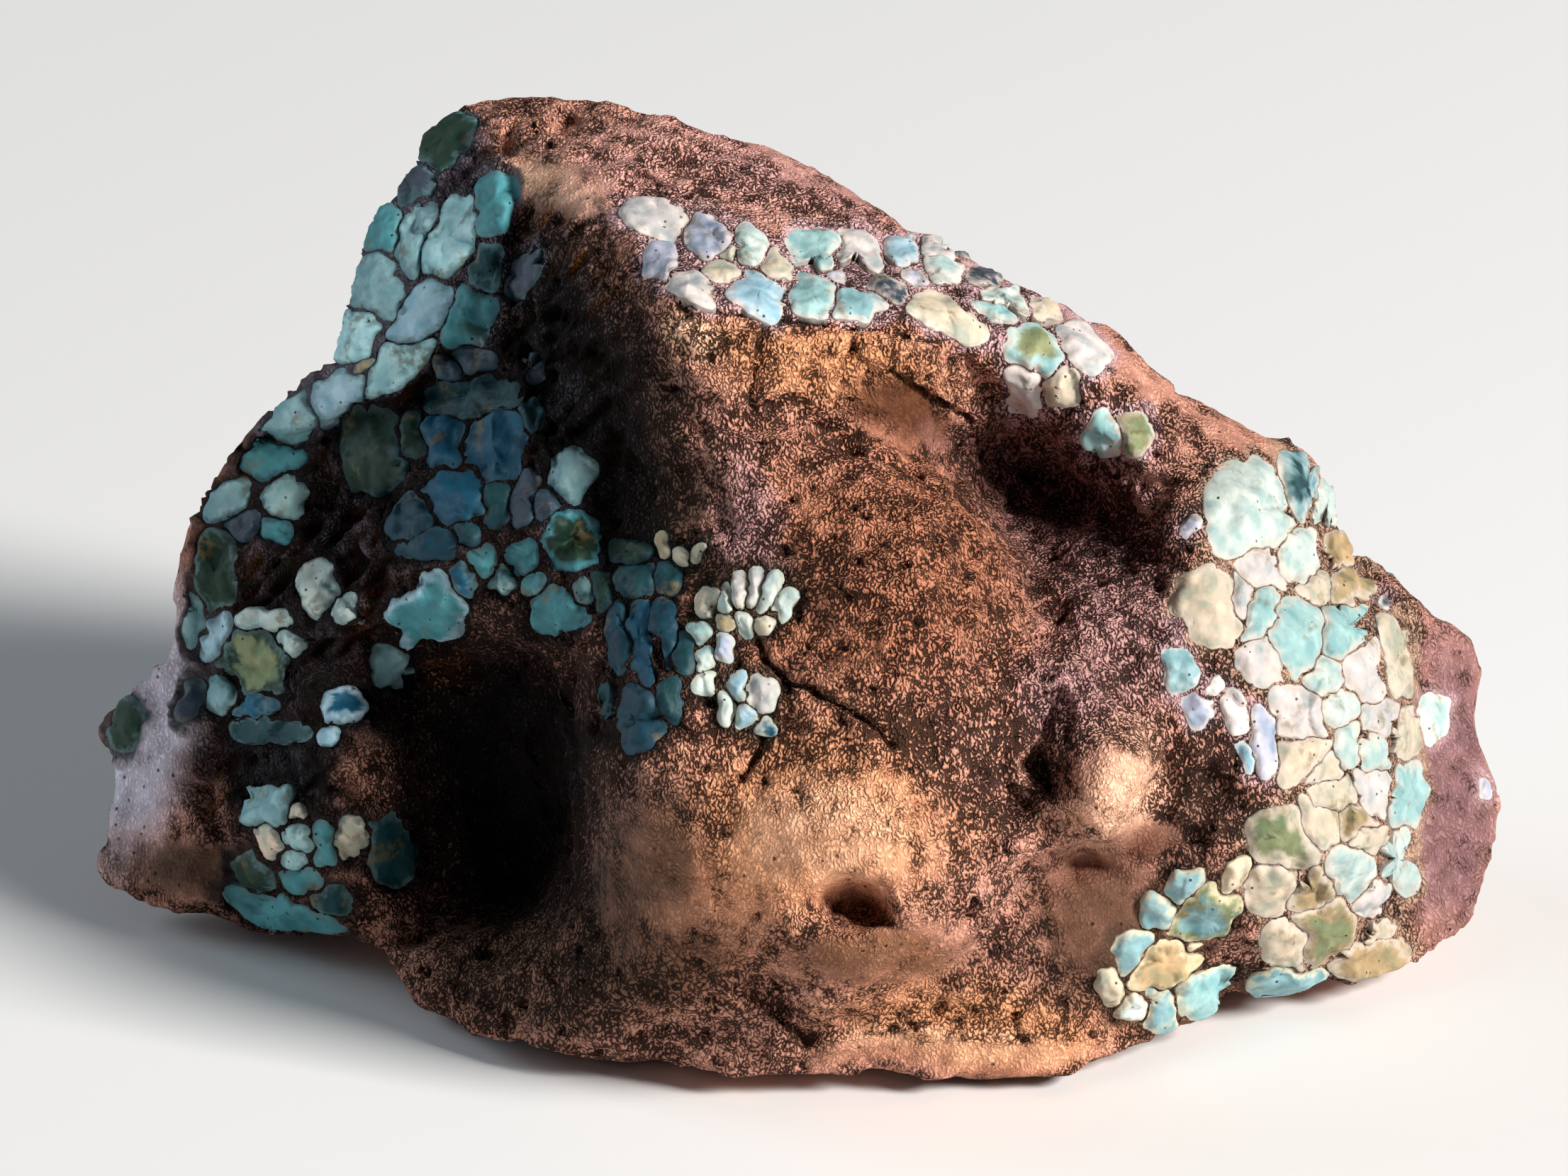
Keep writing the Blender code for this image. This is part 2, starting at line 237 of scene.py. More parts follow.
# The nodules' tones.
tones = {
    "mint": rgb(194, 207, 202),
    "pearl": rgb(206, 197, 196),
    "aqua": rgb(158, 194, 194),
    "sky": rgb(158, 190, 206),
    "cream": rgb(206, 190, 168),
    "lilac": rgb(172, 174, 194),
    "olive": rgb(132, 138, 100),
    "tan": rgb(178, 152, 114),
    "teal": rgb(74, 138, 146),
    "deepTeal": rgb(26, 66, 72),
    "blue": rgb(20, 84, 112),
    "midBlue": rgb(20, 58, 74),
    "green": rgb(30, 54, 42),
    "greyTeal": rgb(136, 172, 178),
    "paleTeal": rgb(176, 216, 220),
    "slate": rgb(66, 74, 88),
}

# In each bed, in mm, lift is how proud its nodules stand, gap is half the seam between two, grow is how much
# wider they get than drawn, and wall is how high the rock rises round them. Faceting scales their broken
# faces, and shade scales their tones as painted light and shade: darker on the right band, where the key lamp
# falls full, and lighter on the upper flank and the left foot, which turn from it. Rim and matrix tint their
# edges and the rock round them.
# Each nodule: across, up, half width, half height, turn in degrees, and its tone, with its core's after
# a slash.
noduleBeds = {
    "topBand": {
        "lift": 0.2, "faceting": 0.6, "gap": 0.04, "grow": 0.36, "rim": rgb(214, 200, 190),
        "matrix": rgb(186, 150, 154),
        "nodules": [
            (-6.7, 19.6, 1.55, 0.55, -16, "pearl"), (-4.1, 18.7, 1.15, 0.85, -38, "lilac"),
            (-2.1, 18.2, 0.8, 0.5, -42, "mint"), (-0.6, 17.2, 0.75, 0.55, 72, "cream"),
            (1.2, 18.1, 1.1, 0.9, -18, "aqua"), (3.1, 17.9, 0.95, 1.2, 8, "pearl"),
            (5.6, 18, 0.8, 0.65, 0, "sky"), (7.3, 18.2, 1, 0.45, -14, "pearl"),
            (7.4, 17.2, 0.9, 0.42, -10, "mint"), (6.1, 16.8, 0.6, 0.36, -30, "lilac"),
            (10.4, 15.9, 1.45, 0.45, -12, "mint"), (9.9, 15.1, 1.2, 0.4, -6, "aqua"),
            (12.3, 15.5, 0.9, 0.35, -35, "cream"), (-5, 16.2, 1.15, 0.55, -20, "pearl"),
            (-3.4, 16.8, 0.8, 0.4, 12, "cream"), (-6.4, 17.5, 0.6, 0.9, 0, "lilac"),
            (-1.6, 15.9, 1.3, 0.75, -26, "sky"), (1, 15.7, 1, 0.8, -16, "aqua"),
            (3.3, 15.4, 1.1, 0.55, 14, "greyTeal"), (4.5, 16.1, 0.9, 0.3, -18, "slate"),
            (7.6, 14.8, 1.95, 0.6, -28, "cream"), (12, 13.2, 1.3, 1, -24, "aqua/olive"),
            (14.2, 13.4, 1.2, 0.8, -48, "pearl"), (11.5, 11.2, 0.75, 1.15, 0, "pearl"),
            (13.1, 11.3, 0.8, 0.55, 55, "cream"), (15.3, 9, 0.85, 0.85, 0, "aqua"),
            (16.6, 9.1, 0.75, 0.8, 0, "olive"), (-3, 17.9, 0.4, 0.3, 0, "cream"),
            (2.3, 16.9, 0.5, 0.3, 10, "lilac"), (9.7, 16.6, 1, 0.3, -22, "slate"),
        ],
    },
    "rightBand": {
        "lift": 0.17, "faceting": 0.25, "gap": 0.02, "grow": 0.95, "shade": 0.82,
        "rim": rgb(196, 184, 172), "matrix": rgb(158, 128, 108),
        "nodules": [
            (22.65, 5.3, 1.75, 1.7, 0, "mint"), (25.2, 6.5, 0.75, 1.25, 0, "greyTeal/deepTeal"),
            (26.3, 6, 0.6, 1.3, 5, "mint"), (24.9, 3.2, 0.95, 1, 0, "mint"),
            (23, 2.4, 0.9, 0.75, 0, "pearl"), (20.6, 0.6, 1.1, 1.1, 20, "cream"),
            (21.9, 1.1, 0.45, 1, 0, "pearl"), (23, 0.3, 0.75, 1, 0, "aqua"),
            (24.6, -0.8, 1.2, 1.5, 0, "aqua"), (23.2, -1.6, 0.7, 0.8, 0, "pearl"),
            (27, -0.5, 0.8, 1.35, 0, "aqua"), (27.1, 1.7, 0.9, 0.65, 0, "tan"),
            (26.9, 3.3, 0.5, 0.9, 10, "tan"), (28.3, -2.8, 1.2, 1.5, 0, "pearl"),
            (26.9, -4.3, 0.85, 0.8, 0, "mint"), (28.8, -4.9, 0.95, 0.8, 0, "pearl"),
            (28.8, -6.5, 0.9, 0.75, 0, "mint"), (27.4, -6.3, 0.55, 0.8, 0, "mint"),
            (28.6, -8.4, 0.72, 1.15, 8, "pearl"), (25, -4.7, 0.65, 1, 12, "pearl"),
            (25.1, -6.6, 0.7, 0.75, 0, "cream"), (26.2, -7.3, 0.6, 0.6, 0, "cream"),
            (26.7, -8.5, 0.8, 0.6, 0, "cream"), (27.7, -9.7, 0.8, 0.5, 0, "tan"),
            (30.1, -8.7, 0.35, 1.5, 0, "aqua"), (24.1, -10.9, 1, 0.9, 0, "cream/olive"),
            (27.5, -12.4, 1, 0.9, 0, "mint"), (23.6, -13, 0.8, 0.5, 38, "cream"),
            (26.3, -15.4, 1.3, 1.2, 20, "tan/olive"), (28.8, -13.9, 0.6, 0.85, 0, "pearl"),
            (28.6, -15.5, 0.7, 0.5, 0, "cream"), (29.75, -11.8, 0.3, 1.4, 0, "mint"),
            (28.2, -16.6, 1.6, 0.5, 12, "tan"), (29.5, -2.2, 0.4, 1.8, -6, "cream"),
            (30, -5.8, 0.3, 1.2, 0, "cream"), (26.2, -2.6, 0.6, 0.7, 0, "mint"),
            (25.8, 1.6, 0.4, 0.7, 0, "cream"), (28.4, -10.8, 0.7, 0.5, 0, "cream"),
            (25.7, -10, 0.5, 0.6, 0, "cream"), (25.6, -13.4, 0.7, 0.5, 0, "tan"),
            (24.6, -15.9, 0.6, 0.6, 0, "cream"),
        ],
    },
    "rightStrays": {
        "lift": 0.18, "gap": 0.05, "grow": 0.16, "rim": rgb(214, 204, 196), "matrix": rgb(160, 128, 130),
        "nodules": [
            (18.8, -2.5, 0.7, 1.2, 16, "greyTeal"), (19.8, -4.3, 0.7, 0.8, 0, "lilac"),
            (21.6, -4.6, 0.5, 1.5, 20, "pearl"), (23, -5.9, 0.55, 1.9, 12, "lilac"),
            (22.1, -6.6, 0.35, 0.9, 20, "sky"), (20.5, -3.2, 0.35, 0.6, 0, "mint"),
            (31.7, -4.8, 0.9, 1.1, 20, "mint"), (34.4, -8.4, 0.36, 0.5, 0, "lilac"),
            (29.3, 0.9, 0.4, 0.5, 0, "slate"), (19.4, 4.6, 0.3, 0.45, 20, "lilac"),
            (19.2, -0.4, 0.4, 0.5, 0, "cream"),
        ],
    },
    "lowerRight": {
        "lift": 0.26, "gap": 0.04, "grow": 0.4, "rim": rgb(216, 200, 168), "matrix": rgb(74, 54, 42),
        "nodules": [
            (19.1, -13.1, 0.75, 0.65, 0, "greyTeal"), (20.2, -14.5, 1.9, 0.9, 40, "olive/greyTeal"),
            (17.9, -14.2, 0.7, 0.6, 0, "greyTeal"), (18.2, -16.8, 1.9, 0.7, 30, "tan"),
            (16.7, -16.4, 0.85, 0.9, 0, "greyTeal"), (20.4, -18.4, 1.9, 0.9, 8, "aqua"),
            (18.2, -19.1, 0.9, 0.9, 0, "greyTeal"), (24.9, -17.9, 3, 0.4, 2, "greyTeal"),
            (15.6, -17.9, 0.3, 0.75, 12, "cream"), (16.7, -18.9, 0.6, 0.5, 0, "mint"),
            (21.5, -12.9, 0.35, 1.2, -35, "cream"), (19.6, -15.9, 0.35, 0.7, -50, "cream"),
        ],
    },
    "upperFlank": {
        "lift": 0.2, "faceting": 0.6, "gap": 0.04, "grow": 0.4, "shade": 1.2, "wall": 0.22,
        "rim": rgb(96, 134, 142), "matrix": rgb(86, 84, 94),
        "nodules": [
            (-17.1, 23.8, 1.3, 0.8, 50, "green"), (-18.7, 21.3, 0.45, 1, -20, "slate"),
            (-20.2, 19.4, 0.75, 1.3, -14, "teal"), (-20.8, 16.6, 1.2, 1.7, -14, "greyTeal"),
            (-21.6, 14, 1, 1.2, -10, "paleTeal"), (-18.7, 19, 0.7, 1.8, -12, "greyTeal"),
            (-16.9, 18.8, 0.95, 2.2, -24, "paleTeal"), (-14.7, 20.5, 0.75, 1.4, -14, "teal"),
            (-18.4, 15, 0.85, 2.1, -34, "sky"), (-16, 14.9, 1.05, 1.25, -8, "teal"),
            (-19.5, 12.7, 2.3, 0.75, 44, "paleTeal"), (-21.3, 12.6, 1.3, 0.25, 42, "tan"),
            (-22.3, 11.2, 1.9, 0.75, 42, "sky"), (-24.6, 9.8, 1.5, 0.7, 42, "greyTeal"),
            (-13.2, 16.9, 0.35, 1.1, -24, "slate"), (-14.9, 17.4, 0.4, 0.9, -14, "deepTeal"),
        ],
    },
    # the inner flank's deep blue and teal tones and dark rims are partly painted shade, and its near-black
    # matrix is painted shade in the gaps
    "innerFlank": {
        "lift": 0.22, "gap": 0.05, "grow": 0.34, "wall": 0.26, "rim": rgb(40, 76, 90),
        "matrix": rgb(28, 26, 30),
        "nodules": [
            (-25.7, 7.9, 1.6, 0.85, 28, "teal"), (-25, 6, 0.95, 0.85, 10, "aqua"),
            (-27.9, 6, 1.3, 0.5, 42, "greyTeal"), (-27.3, 4.6, 0.9, 0.4, 20, "slate"),
            (-25.6, 4.5, 0.7, 0.4, 0, "teal"), (-15.8, 10.9, 2.4, 0.7, 4, "deepTeal"),
            (-20.6, 8.3, 1.4, 2, 10, "green"), (-18.9, 9, 0.6, 1, 0, "green"),
            (-17.1, 8.8, 0.95, 1.1, 0, "blue"), (-14.6, 8.5, 1.3, 1.6, -6, "blue"),
            (-16.6, 6, 1.6, 1, 20, "blue"), (-18.6, 5, 1.2, 0.8, 30, "midBlue"),
            (-17.9, 3.6, 1.4, 0.45, 6, "midBlue"), (-14.5, 5.6, 0.65, 0.9, -20, "deepTeal"),
            (-13.2, 5.9, 0.5, 1.3, -24, "slate"), (-15.9, 4.2, 0.6, 0.5, 0, "deepTeal"),
            (-10.9, 7, 0.9, 1.3, -30, "greyTeal"), (-11.9, 5.6, 0.4, 0.9, -30, "slate"),
            (-10.7, 3.9, 1.2, 1.4, 0, "teal/green"), (-13, 3, 0.55, 0.5, 20, "teal"),
            (-14.2, 2, 0.6, 0.5, 30, "aqua"), (-11.5, 0.4, 1.2, 0.95, 0, "teal"),
            (-12.6, 12.4, 0.3, 0.6, 0, "slate"), (-12.9, 10.2, 0.3, 0.7, 0, "deepTeal"),
            (-15.6, 12.8, 0.9, 0.4, 0, "slate"), (-17, 12.3, 0.45, 0.5, 0, "slate"),
        ],
    },
    # its near-black matrix is painted shade in the gaps between the nodules
    "leftFoot": {
        "lift": 0.24, "gap": 0.05, "grow": 0.3, "shade": 1.25, "wall": 0.2, "rim": rgb(104, 132, 134),
        "matrix": rgb(32, 28, 30),
        "nodules": [
            (-28.5, 2.3, 0.9, 2.2, -8, "green"), (-28.5, -0.9, 0.6, 1.1, -20, "sky"),
            (-29.5, 0.4, 0.35, 1.8, -10, "greyTeal"), (-23.3, 1.4, 0.8, 1.3, 20, "mint"),
            (-22.3, 0.6, 0.6, 0.6, 0, "mint"), (-26.2, -0.1, 1.5, 0.45, 8, "mint"),
            (-26.7, -2.2, 1.7, 1.6, -20, "green/olive"), (-28.1, -3.2, 0.5, 1.5, -24, "greyTeal"),
            (-26.6, -4.3, 1.2, 0.4, 14, "blue"), (-24.7, -1.3, 0.6, 0.4, -20, "mint"),
            (-18, 0.2, 2, 1.45, 34, "sky/teal"), (-19.7, -2.4, 0.95, 0.85, 0, "greyTeal"),
            (-16, 1.9, 0.6, 0.8, -20, "blue"), (-15.1, 2.8, 0.45, 0.8, -20, "teal"),
            (-22.1, -4.4, 0.95, 0.75, 0, "sky/blue"), (-22.8, -5.8, 0.5, 0.4, 0, "sky"),
            (-26, -5.5, 2, 0.4, 0, "deepTeal"), (-25.9, -9.3, 1.3, 0.8, 0, "greyTeal"),
            (-24.3, -9.7, 0.4, 0.35, 0, "cream"), (-25.8, -10.9, 0.8, 0.4, -55, "cream"),
            (-24.3, -10.9, 0.6, 0.45, 0, "aqua"), (-24.6, -11.9, 0.5, 0.4, 0, "aqua"),
            (-23, -11, 0.6, 0.95, 0, "teal"), (-21.8, -10.7, 0.6, 1, -20, "cream"),
            (-24.4, -12.8, 1, 0.4, -10, "teal"), (-22.8, -13.9, 0.9, 0.5, 0, "deepTeal"),
            (-19.8, -11.5, 0.9, 1.7, 4, "deepTeal"), (-25.2, -14.6, 3.2, 0.6, -22, "teal"),
            (-26.6, -12.7, 1.2, 0.7, -48, "green"), (-33.2, -5.4, 0.6, 1.3, -24, "green"),
            (-12.6, 1.6, 0.4, 0.4, 0, "teal"), (-10.2, 1.1, 0.4, 0.45, 0, "deepTeal"),
            (-29.8, -4, 0.3, 1, -20, "slate"),
        ],
    },
    # its near-black matrix is painted shade in the gaps between the nodules
    "fan": {
        "lift": 0.24, "faceting": 1.3, "gap": 0.03, "grow": 0.18, "rim": rgb(186, 190, 176),
        "matrix": rgb(44, 44, 36),
        "nodules": [
            (-3.15, 1, 0.3, 0.75, 26, "mint"), (-2.5, 1.35, 0.33, 0.95, 12, "pearl"),
            (-1.75, 1.5, 0.36, 1, -2, "pearl"), (-1.05, 1.2, 0.36, 0.95, -18, "mint"),
            (-0.5, 0.55, 0.34, 0.85, -36, "mint"), (-1.35, -0.1, 0.4, 0.5, -10, "cream"),
            (-2.2, -0.1, 0.4, 0.55, 8, "mint"), (-3.3, -0.1, 0.4, 0.4, 0, "tan"),
            (-4.6, -0.7, 0.42, 0.7, 10, "aqua"), (-3.4, -1.4, 0.45, 0.6, 10, "lilac"),
            (-4.3, -2, 0.4, 0.7, 15, "mint"), (-4.2, -3.1, 0.45, 0.5, 0, "mint"),
            (-2.5, -3.4, 0.45, 0.7, 20, "sky"), (-1.5, -3.7, 0.55, 0.8, -15, "pearl"),
            (-2.3, -4.7, 0.6, 0.5, 0, "sky"), (-1.5, -5.1, 0.5, 0.35, 20, "blue"),
            (-3.1, -4.3, 0.35, 0.9, 6, "mint"), (-4.5, 3.2, 0.22, 0.5, -30, "cream"),
            (-6.3, 3.6, 0.28, 0.5, 10, "tan"), (-4.1, 1, 0.28, 0.7, 0, "cream"),
            (-5.4, 3, 0.4, 0.4, 0, "cream"),
        ],
    },
    # its near-black matrix is painted shade in the gaps between the nodules
    "blades": {
        "lift": 0.26, "gap": 0.03, "grow": 0.3, "rim": rgb(36, 72, 86), "matrix": rgb(22, 20, 20),
        "nodules": [
            (-8.3, -0.6, 0.5, 1.9, 6, "midBlue"), (-7.3, -0.9, 0.5, 2.2, 10, "blue"),
            (-6.3, -0.8, 0.42, 1.9, 4, "midBlue"), (-7.5, 1.9, 0.8, 0.7, 0, "deepTeal"),
            (-6.1, 2.1, 0.5, 0.6, 0, "deepTeal"), (-7.4, -4.8, 1.2, 1.3, 0, "midBlue"),
            (-6, -4, 0.5, 1, 0, "deepTeal"), (-8.9, -4.4, 0.5, 1.3, 0, "deepTeal"),
            (-7.9, 3.2, 0.8, 0.6, 0, "green"), (-5.3, -1.6, 0.4, 0.9, 0, "deepTeal"),
            (-9.2, 1.2, 0.4, 0.9, 0, "green"),
        ],
    },
}

# The turquoise on the back, which is scattered in patches.
hiddenNodules = {
    "seed": 11, "tries": 9000, "small": 0.9, "large": 2.3, "stretch": (0.8, 1.25),
    "cover": 0.16, "patch": 12,  # how much noise a place needs, and the patches' size, mm
    "mostForward": 0.1, "lowest": -16.5, "overlap": 0.86,
    "near": 2.2,  # a nodule reaches only the rock this near to it, mm
    "lift": 0.34,
    "gap": 0.09, "grow": 0.3, "rim": rgb(206, 196, 170), "matrix": rgb(96, 72, 60),
    "tones": ["mint", "aqua", "teal", "sky", "cream", "greyTeal", "teal", "mint", "olive", "blue"],
}


def insideEllipse(offset, halfWidth, halfHeight, power=2.0):
    # 0 at the middle and 1 on the edge
    sideways, upwards = np.abs(offset[:, 0] / halfWidth), np.abs(offset[:, 1] / halfHeight)
    return (sideways ** power + upwards ** power) ** (1 / power)


def ovalShare(flat, across, up, halfWidth, halfHeight, turn):
    # the same for an oval on the face, turned by so many degrees
    angle = math.radians(turn)
    along = np.array([math.cos(angle), math.sin(angle)])
    offset = flat - (across, up)
    offset = np.column_stack([offset @ along, offset @ np.array([-along[1], along[0]])])
    return insideEllipse(offset, halfWidth, halfHeight)


def ramp(value, low, high):
    share = np.clip((value - low) / (high - low), 0, 1)
    return share * share * (3 - 2 * share)


farOff = 60.0  # mm, well clear of the stone
outside = -9.0  # mm inside a nodule, where there is none


class Nodule:
    # one nodule: where it is, how it lies, its half sizes and its colours
    def __init__(self, centre, axes, half, tone, bed, drawn):
        self.centre, self.axes, self.bed, self.drawn = centre, axes, bed, drawn
        self.half = (half[0] + bed["grow"], half[1] + bed["grow"])
        self.size = math.sqrt(self.half[0] * self.half[1])
        self.reach = max(self.half) * 1.5 + 0.6
        main, _, core = tone.partition("/")
        # the bed's shade scales the tones as painted light and shade
        shade = np.array([bed.get("shade", 1.0)] * 3 + [1.0])
        self.tint = np.minimum(np.array(tones[main]) * shade, 1.0)
        self.core = np.minimum(np.array(tones[core or main]) * shade, 1.0)

    def rockAt(self, surface, aside):
        # the rock beside the nodule's middle, looked at straight down on the nodule
        high = farOff if self.drawn else hiddenNodules["near"]
        return surface.under(self.centre + aside + self.axes[2] * high, -self.axes[2], high * 2)

    def depth(self, bent):
        # how far inside the nodule's own oval each place is, in mm
        offset = (bent - self.centre) @ self.axes.T
        depth = (1 - insideEllipse(offset, *self.half, power=3.0)) * self.size
        return depth if self.drawn else np.where(np.abs(offset[:, 2]) < hiddenNodules["near"], depth, outside)


def drawnNodules(surface):
    made = []
    for name, bed in noduleBeds.items():
        bed["name"] = name
        for across, up, halfWidth, halfHeight, turn, tone in bed["nodules"]:
            hit = surface.under(np.array([across, up, 40.0]), np.array([0, 0, -1.0]))
            if hit is None:
                print("no rock under", name, across, up)
                continue
            side, rise = math.cos(math.radians(turn)), math.sin(math.radians(turn))
            axes = np.array([[side, rise, 0], [-rise, side, 0], [0, 0, 1]])
            made.append(Nodule(hit[0], axes, (halfWidth, halfHeight), tone, bed, True))
    return made


def scatteredNodules(surface, drawn):
    bed = hiddenNodules
    bed["name"] = "backBeds"
    rng = np.random.default_rng(bed["seed"])
    patch = layeredNoise(surface.places, bed["patch"], 80.0)
    height = surface.places @ np.array([0, math.cos(faceLean), math.sin(faceLean)])
    free = surface.back & (surface.normals[:, 2] < bed["mostForward"])
    choices = np.flatnonzero(free & (patch > bed["cover"]) & (height > bed["lowest"]))
    middles = [nodule.centre for nodule in drawn]
    reaches = [nodule.size + 0.5 for nodule in drawn]
    made = []
    for pick in rng.choice(choices, bed["tries"]):
        centre, normal = surface.places[pick], surface.normals[pick]
        size = rng.uniform(bed["small"], bed["large"])
        away = np.linalg.norm(np.array(middles) - centre, axis=1)
        if np.any(away < (np.array(reaches) + size) * bed["overlap"]):
            continue
        middles.append(centre)
        reaches.append(size)
        stretch = rng.uniform(*bed["stretch"])
        first = np.cross(normal, rng.normal(size=3))
        first /= np.linalg.norm(first)
        axes = np.array([first, np.cross(normal, first), normal])
        tone = bed["tones"][rng.integers(len(bed["tones"]))]
        made.append(Nodule(centre, axes, (size * stretch, size / stretch), tone, bed, False))
    return made


brokenOutlines = {"span": 1.5, "push": 0.42, "fineSpan": 0.42, "finePush": 0.08}


def bentPlaces(places):
    # the same places pushed a little aside, so that ovals get broken outlines
    made = brokenOutlines
    wide = [layeredNoise(places, made["span"], shift, 3) for shift in (5.0, 25.0, 45.0)]
    fine = [softNoise(places / made["fineSpan"] + shift) for shift in (65.0, 85.0, 95.0)]
    return places + np.column_stack(wide) * made["push"] + np.column_stack(fine) * made["finePush"]


class NoduleField:
    # for each place: how far inside a nodule it is, in mm, and which nodule that is
    def __init__(self, count):
        self.best = np.full(count, outside)
        self.second = np.full(count, outside)
        self.owner = np.full(count, -1)

    def add(self, where, depth, number):
        here = self.best[where]
        wins = depth > here
        self.second[where] = np.where(wins, here, np.maximum(self.second[where], depth))
        self.best[where] = np.where(wins, depth, here)
        self.owner[where] = np.where(wins, number, self.owner[where])

    def ofBed(self, nodules, name, usual=0.0):
        # a setting of the bed that each place's nodule belongs to
        return np.array([nodule.bed.get(name, usual) for nodule in nodules])[np.maximum(self.owner, 0)]

    def inside(self, gaps):
        return np.minimum(self.best, (self.best - self.second) / 2) - gaps


def fieldOver(surface, nodules):
    field = NoduleField(len(surface.places))
    bent = bentPlaces(surface.places)
    for number, nodule in enumerate(nodules):
        span = 2 if nodule.drawn else 3
        near = np.all(np.abs(surface.places[:, :span] - nodule.centre[:span]) < nodule.reach, axis=1)
        near &= ~surface.hidden if nodule.drawn else surface.back
        where = np.flatnonzero(near)
        field.add(where, nodule.depth(bent[where]), number)
    return field


# Steps in the face: places along each edge, how far it falls on its right-hand side, and how soon that fades.
brokenEdges = [
    ([(-7.2, 15.6), (-4, 14.95), (-1, 14.7), (2, 14.6), (5, 14.3)], 0.35, 2),
    ([(4.2, 12.5), (6.2, 11.5), (8.3, 10.1), (9.6, 9.6)], 1, 2.2),
    ([(9.2, 12.4), (11, 11), (12.6, 9.6), (14.4, 8.6), (17.6, 7.6)], 1.3, 2.4),
    ([(11.8, -0.5), (11, 2.6), (10, 4.6), (8, 6.5), (5.4, 7.5), (2.6, 8.3), (-0.6, 8.6), (-3.6, 8.9)],
     1.5, 2.6),
    ([(-12.6, 9.6), (-13.8, 13.4), (-14.4, 16.5), (-14.2, 19.5), (-14.4, 22.4)], 1.4, 3),
    ([(-25.4, 9.4), (-22.6, 10.6), (-19.2, 11.4), (-16, 12.1), (-13.4, 12.4)], 2, 4),
    ([(-30.4, 4.3), (-27.4, 4.1), (-23.6, 4.6), (-19.4, 4.4)], 0.9, 1),
    ([(-20.4, -3), (-17.4, -1.8), (-14.8, -1.3), (-12, -1), (-9.8, -1.4), (-9.4, -3.4)], 2.4, 3),
    ([(-18.4, -13.2), (-18.9, -10.4), (-18.6, -8.4), (-19.6, -6), (-20.4, -3.6)], 2, 3),
    ([(13.6, -11), (15, -10.6), (16.4, -9.6), (17.4, -7.4)], 1.8, 2.4),
    ([(12.9, -5.4), (13, -7.4), (13.4, -9.2), (14.4, -10.6)], 1.6, 1.8),
    ([(0.5, -19.3), (3.4, -18.4), (6, -17.2), (8.4, -16), (9.6, -13.6), (13, -11.6)], 0.8, 1.6),
    ([(18.6, 6.4), (18.2, 3), (18.8, 0.2), (18.4, -3), (19.4, -6.4), (22.6, -8.6), (22.6, -12.4)], 0.5, 1.4),
    ([(18.2, -12.6), (16.2, -15.4), (15, -17.4), (16, -19.6)], 0.8, 1.2),
    ([(-9.2, 19.6), (-8.6, 17.6), (-7.4, 15.4)], 0.8, 2),
    ([(-28.2, -13), (-29.4, -10), (-29.6, -6), (-30, 0)], 0.7, 3),
    ([(-34.2, -10.4), (-31, -10.6), (-28.6, -11.6)], 0.6, 3),
    ([(29.6, -16), (30.3, -11), (30.4, -6), (29.8, -1), (28.2, 3)], 0.7, 1.6),
    ([(13.8, -11.5), (16.6, -12.2), (19.2, -12.8)], 0.6, 1.6),
]

# Mounds: across, up, half width, half height, turn, height.
mounds = [
    (15, -8.2, 1.9, 2.7, -25, 1.1), (2.6, -10.4, 4.2, 3.4, 0, 0.8), (-18.6, 0.4, 3, 2.2, 24, 1),
    (-2.2, 0.6, 1.8, 1.8, 0, 0.5), (-2, -4.3, 1.6, 1.5, 0, 0.4), (-7.2, -2, 1.8, 3.4, 0, 0.6),
    (-11.3, 3.6, 1.8, 2.2, 0, 0.5), (22.6, 5.3, 2.2, 2.2, 0, 0.4), (-21.2, -7.6, 1.6, 3.2, 0, 0.9),
    (-24.4, -11, 2.6, 2.4, 0, 0.6), (6, 1, 3.6, 4.6, 20, 0.6),
]

# Hollows: across, up, half width, half height, turn, depth.
hollows = [
    (-10.8, -6.6, 2, 5.4, 0, 2.6), (-7.7, 8.4, 3.3, 8, 13, 1.9), (9.4, 7.6, 2.6, 1.2, -25, 1.2),
    (3.2, -13.9, 1.3, 0.9, -6, 1.6), (-18.5, 0, 1.3, 0.95, 20, 0.9), (-26.7, -2.6, 1.4, 1.3, 30, 1.1),
    (25.2, 6.4, 0.5, 0.9, 0, 0.4), (-10.6, 4, 0.45, 0.6, 0, 0.6), (-3.5, 22.1, 1.2, 0.3, 20, 0.6),
    (-7.2, 21.2, 0.4, 0.9, 20, 0.7), (-1.2, 21.2, 0.9, 0.6, 0, 0.5), (-11.2, 24.4, 0.9, 0.35, 0, 0.6),
    (-4.8, 21.3, 0.25, 0.6, 0, 0.4), (-24.4, -2.9, 0.6, 0.8, 0, 1), (6.4, -6.4, 0.8, 0.6, 0, 0.5),
    (9.6, -9, 0.5, 0.5, 0, 0.5), (12.2, -7.2, 0.9, 1.1, 0, 1.6), (10.9, -9, 0.8, 0.5, 20, 0.9),
    (8, -13.3, 0.4, 0.5, 0, 0.4), (17.2, -16.8, 0.5, 0.25, 0, 0.4), (6.9, -18.9, 0.7, 0.4, 0, 0.5),
    (20.4, -8.4, 0.9, 1, 0, 0.8), (-22.9, 9, 0.6, 0.7, 0, 0.9), (-2.7, -4.2, 0.25, 0.7, 10, 0.5),
    (-13.2, 19.4, 0.7, 1.2, 0, 0.9), (13.4, 6.4, 2, 1.4, -30, 1.2), (16.2, 5, 1.4, 0.9, -40, 1),
    (19.2, -10.4, 1.2, 0.8, 0, 0.7), (-21.6, -8.6, 0.6, 0.5, 0, 0.6), (-10.6, -3.2, 0.9, 1.4, 0, 0.8),
    (-0.8, -18.6, 1.6, 0.6, -40, 0.9), (5.3, 21, 0.4, 0.3, 0, 0.5), (9.4, 12, 0.8, 0.5, -30, 0.6),
    (4, 4, 0.6, 0.5, 0, 0.4), (7, 2.6, 0.9, 0.4, -40, 0.4),
]
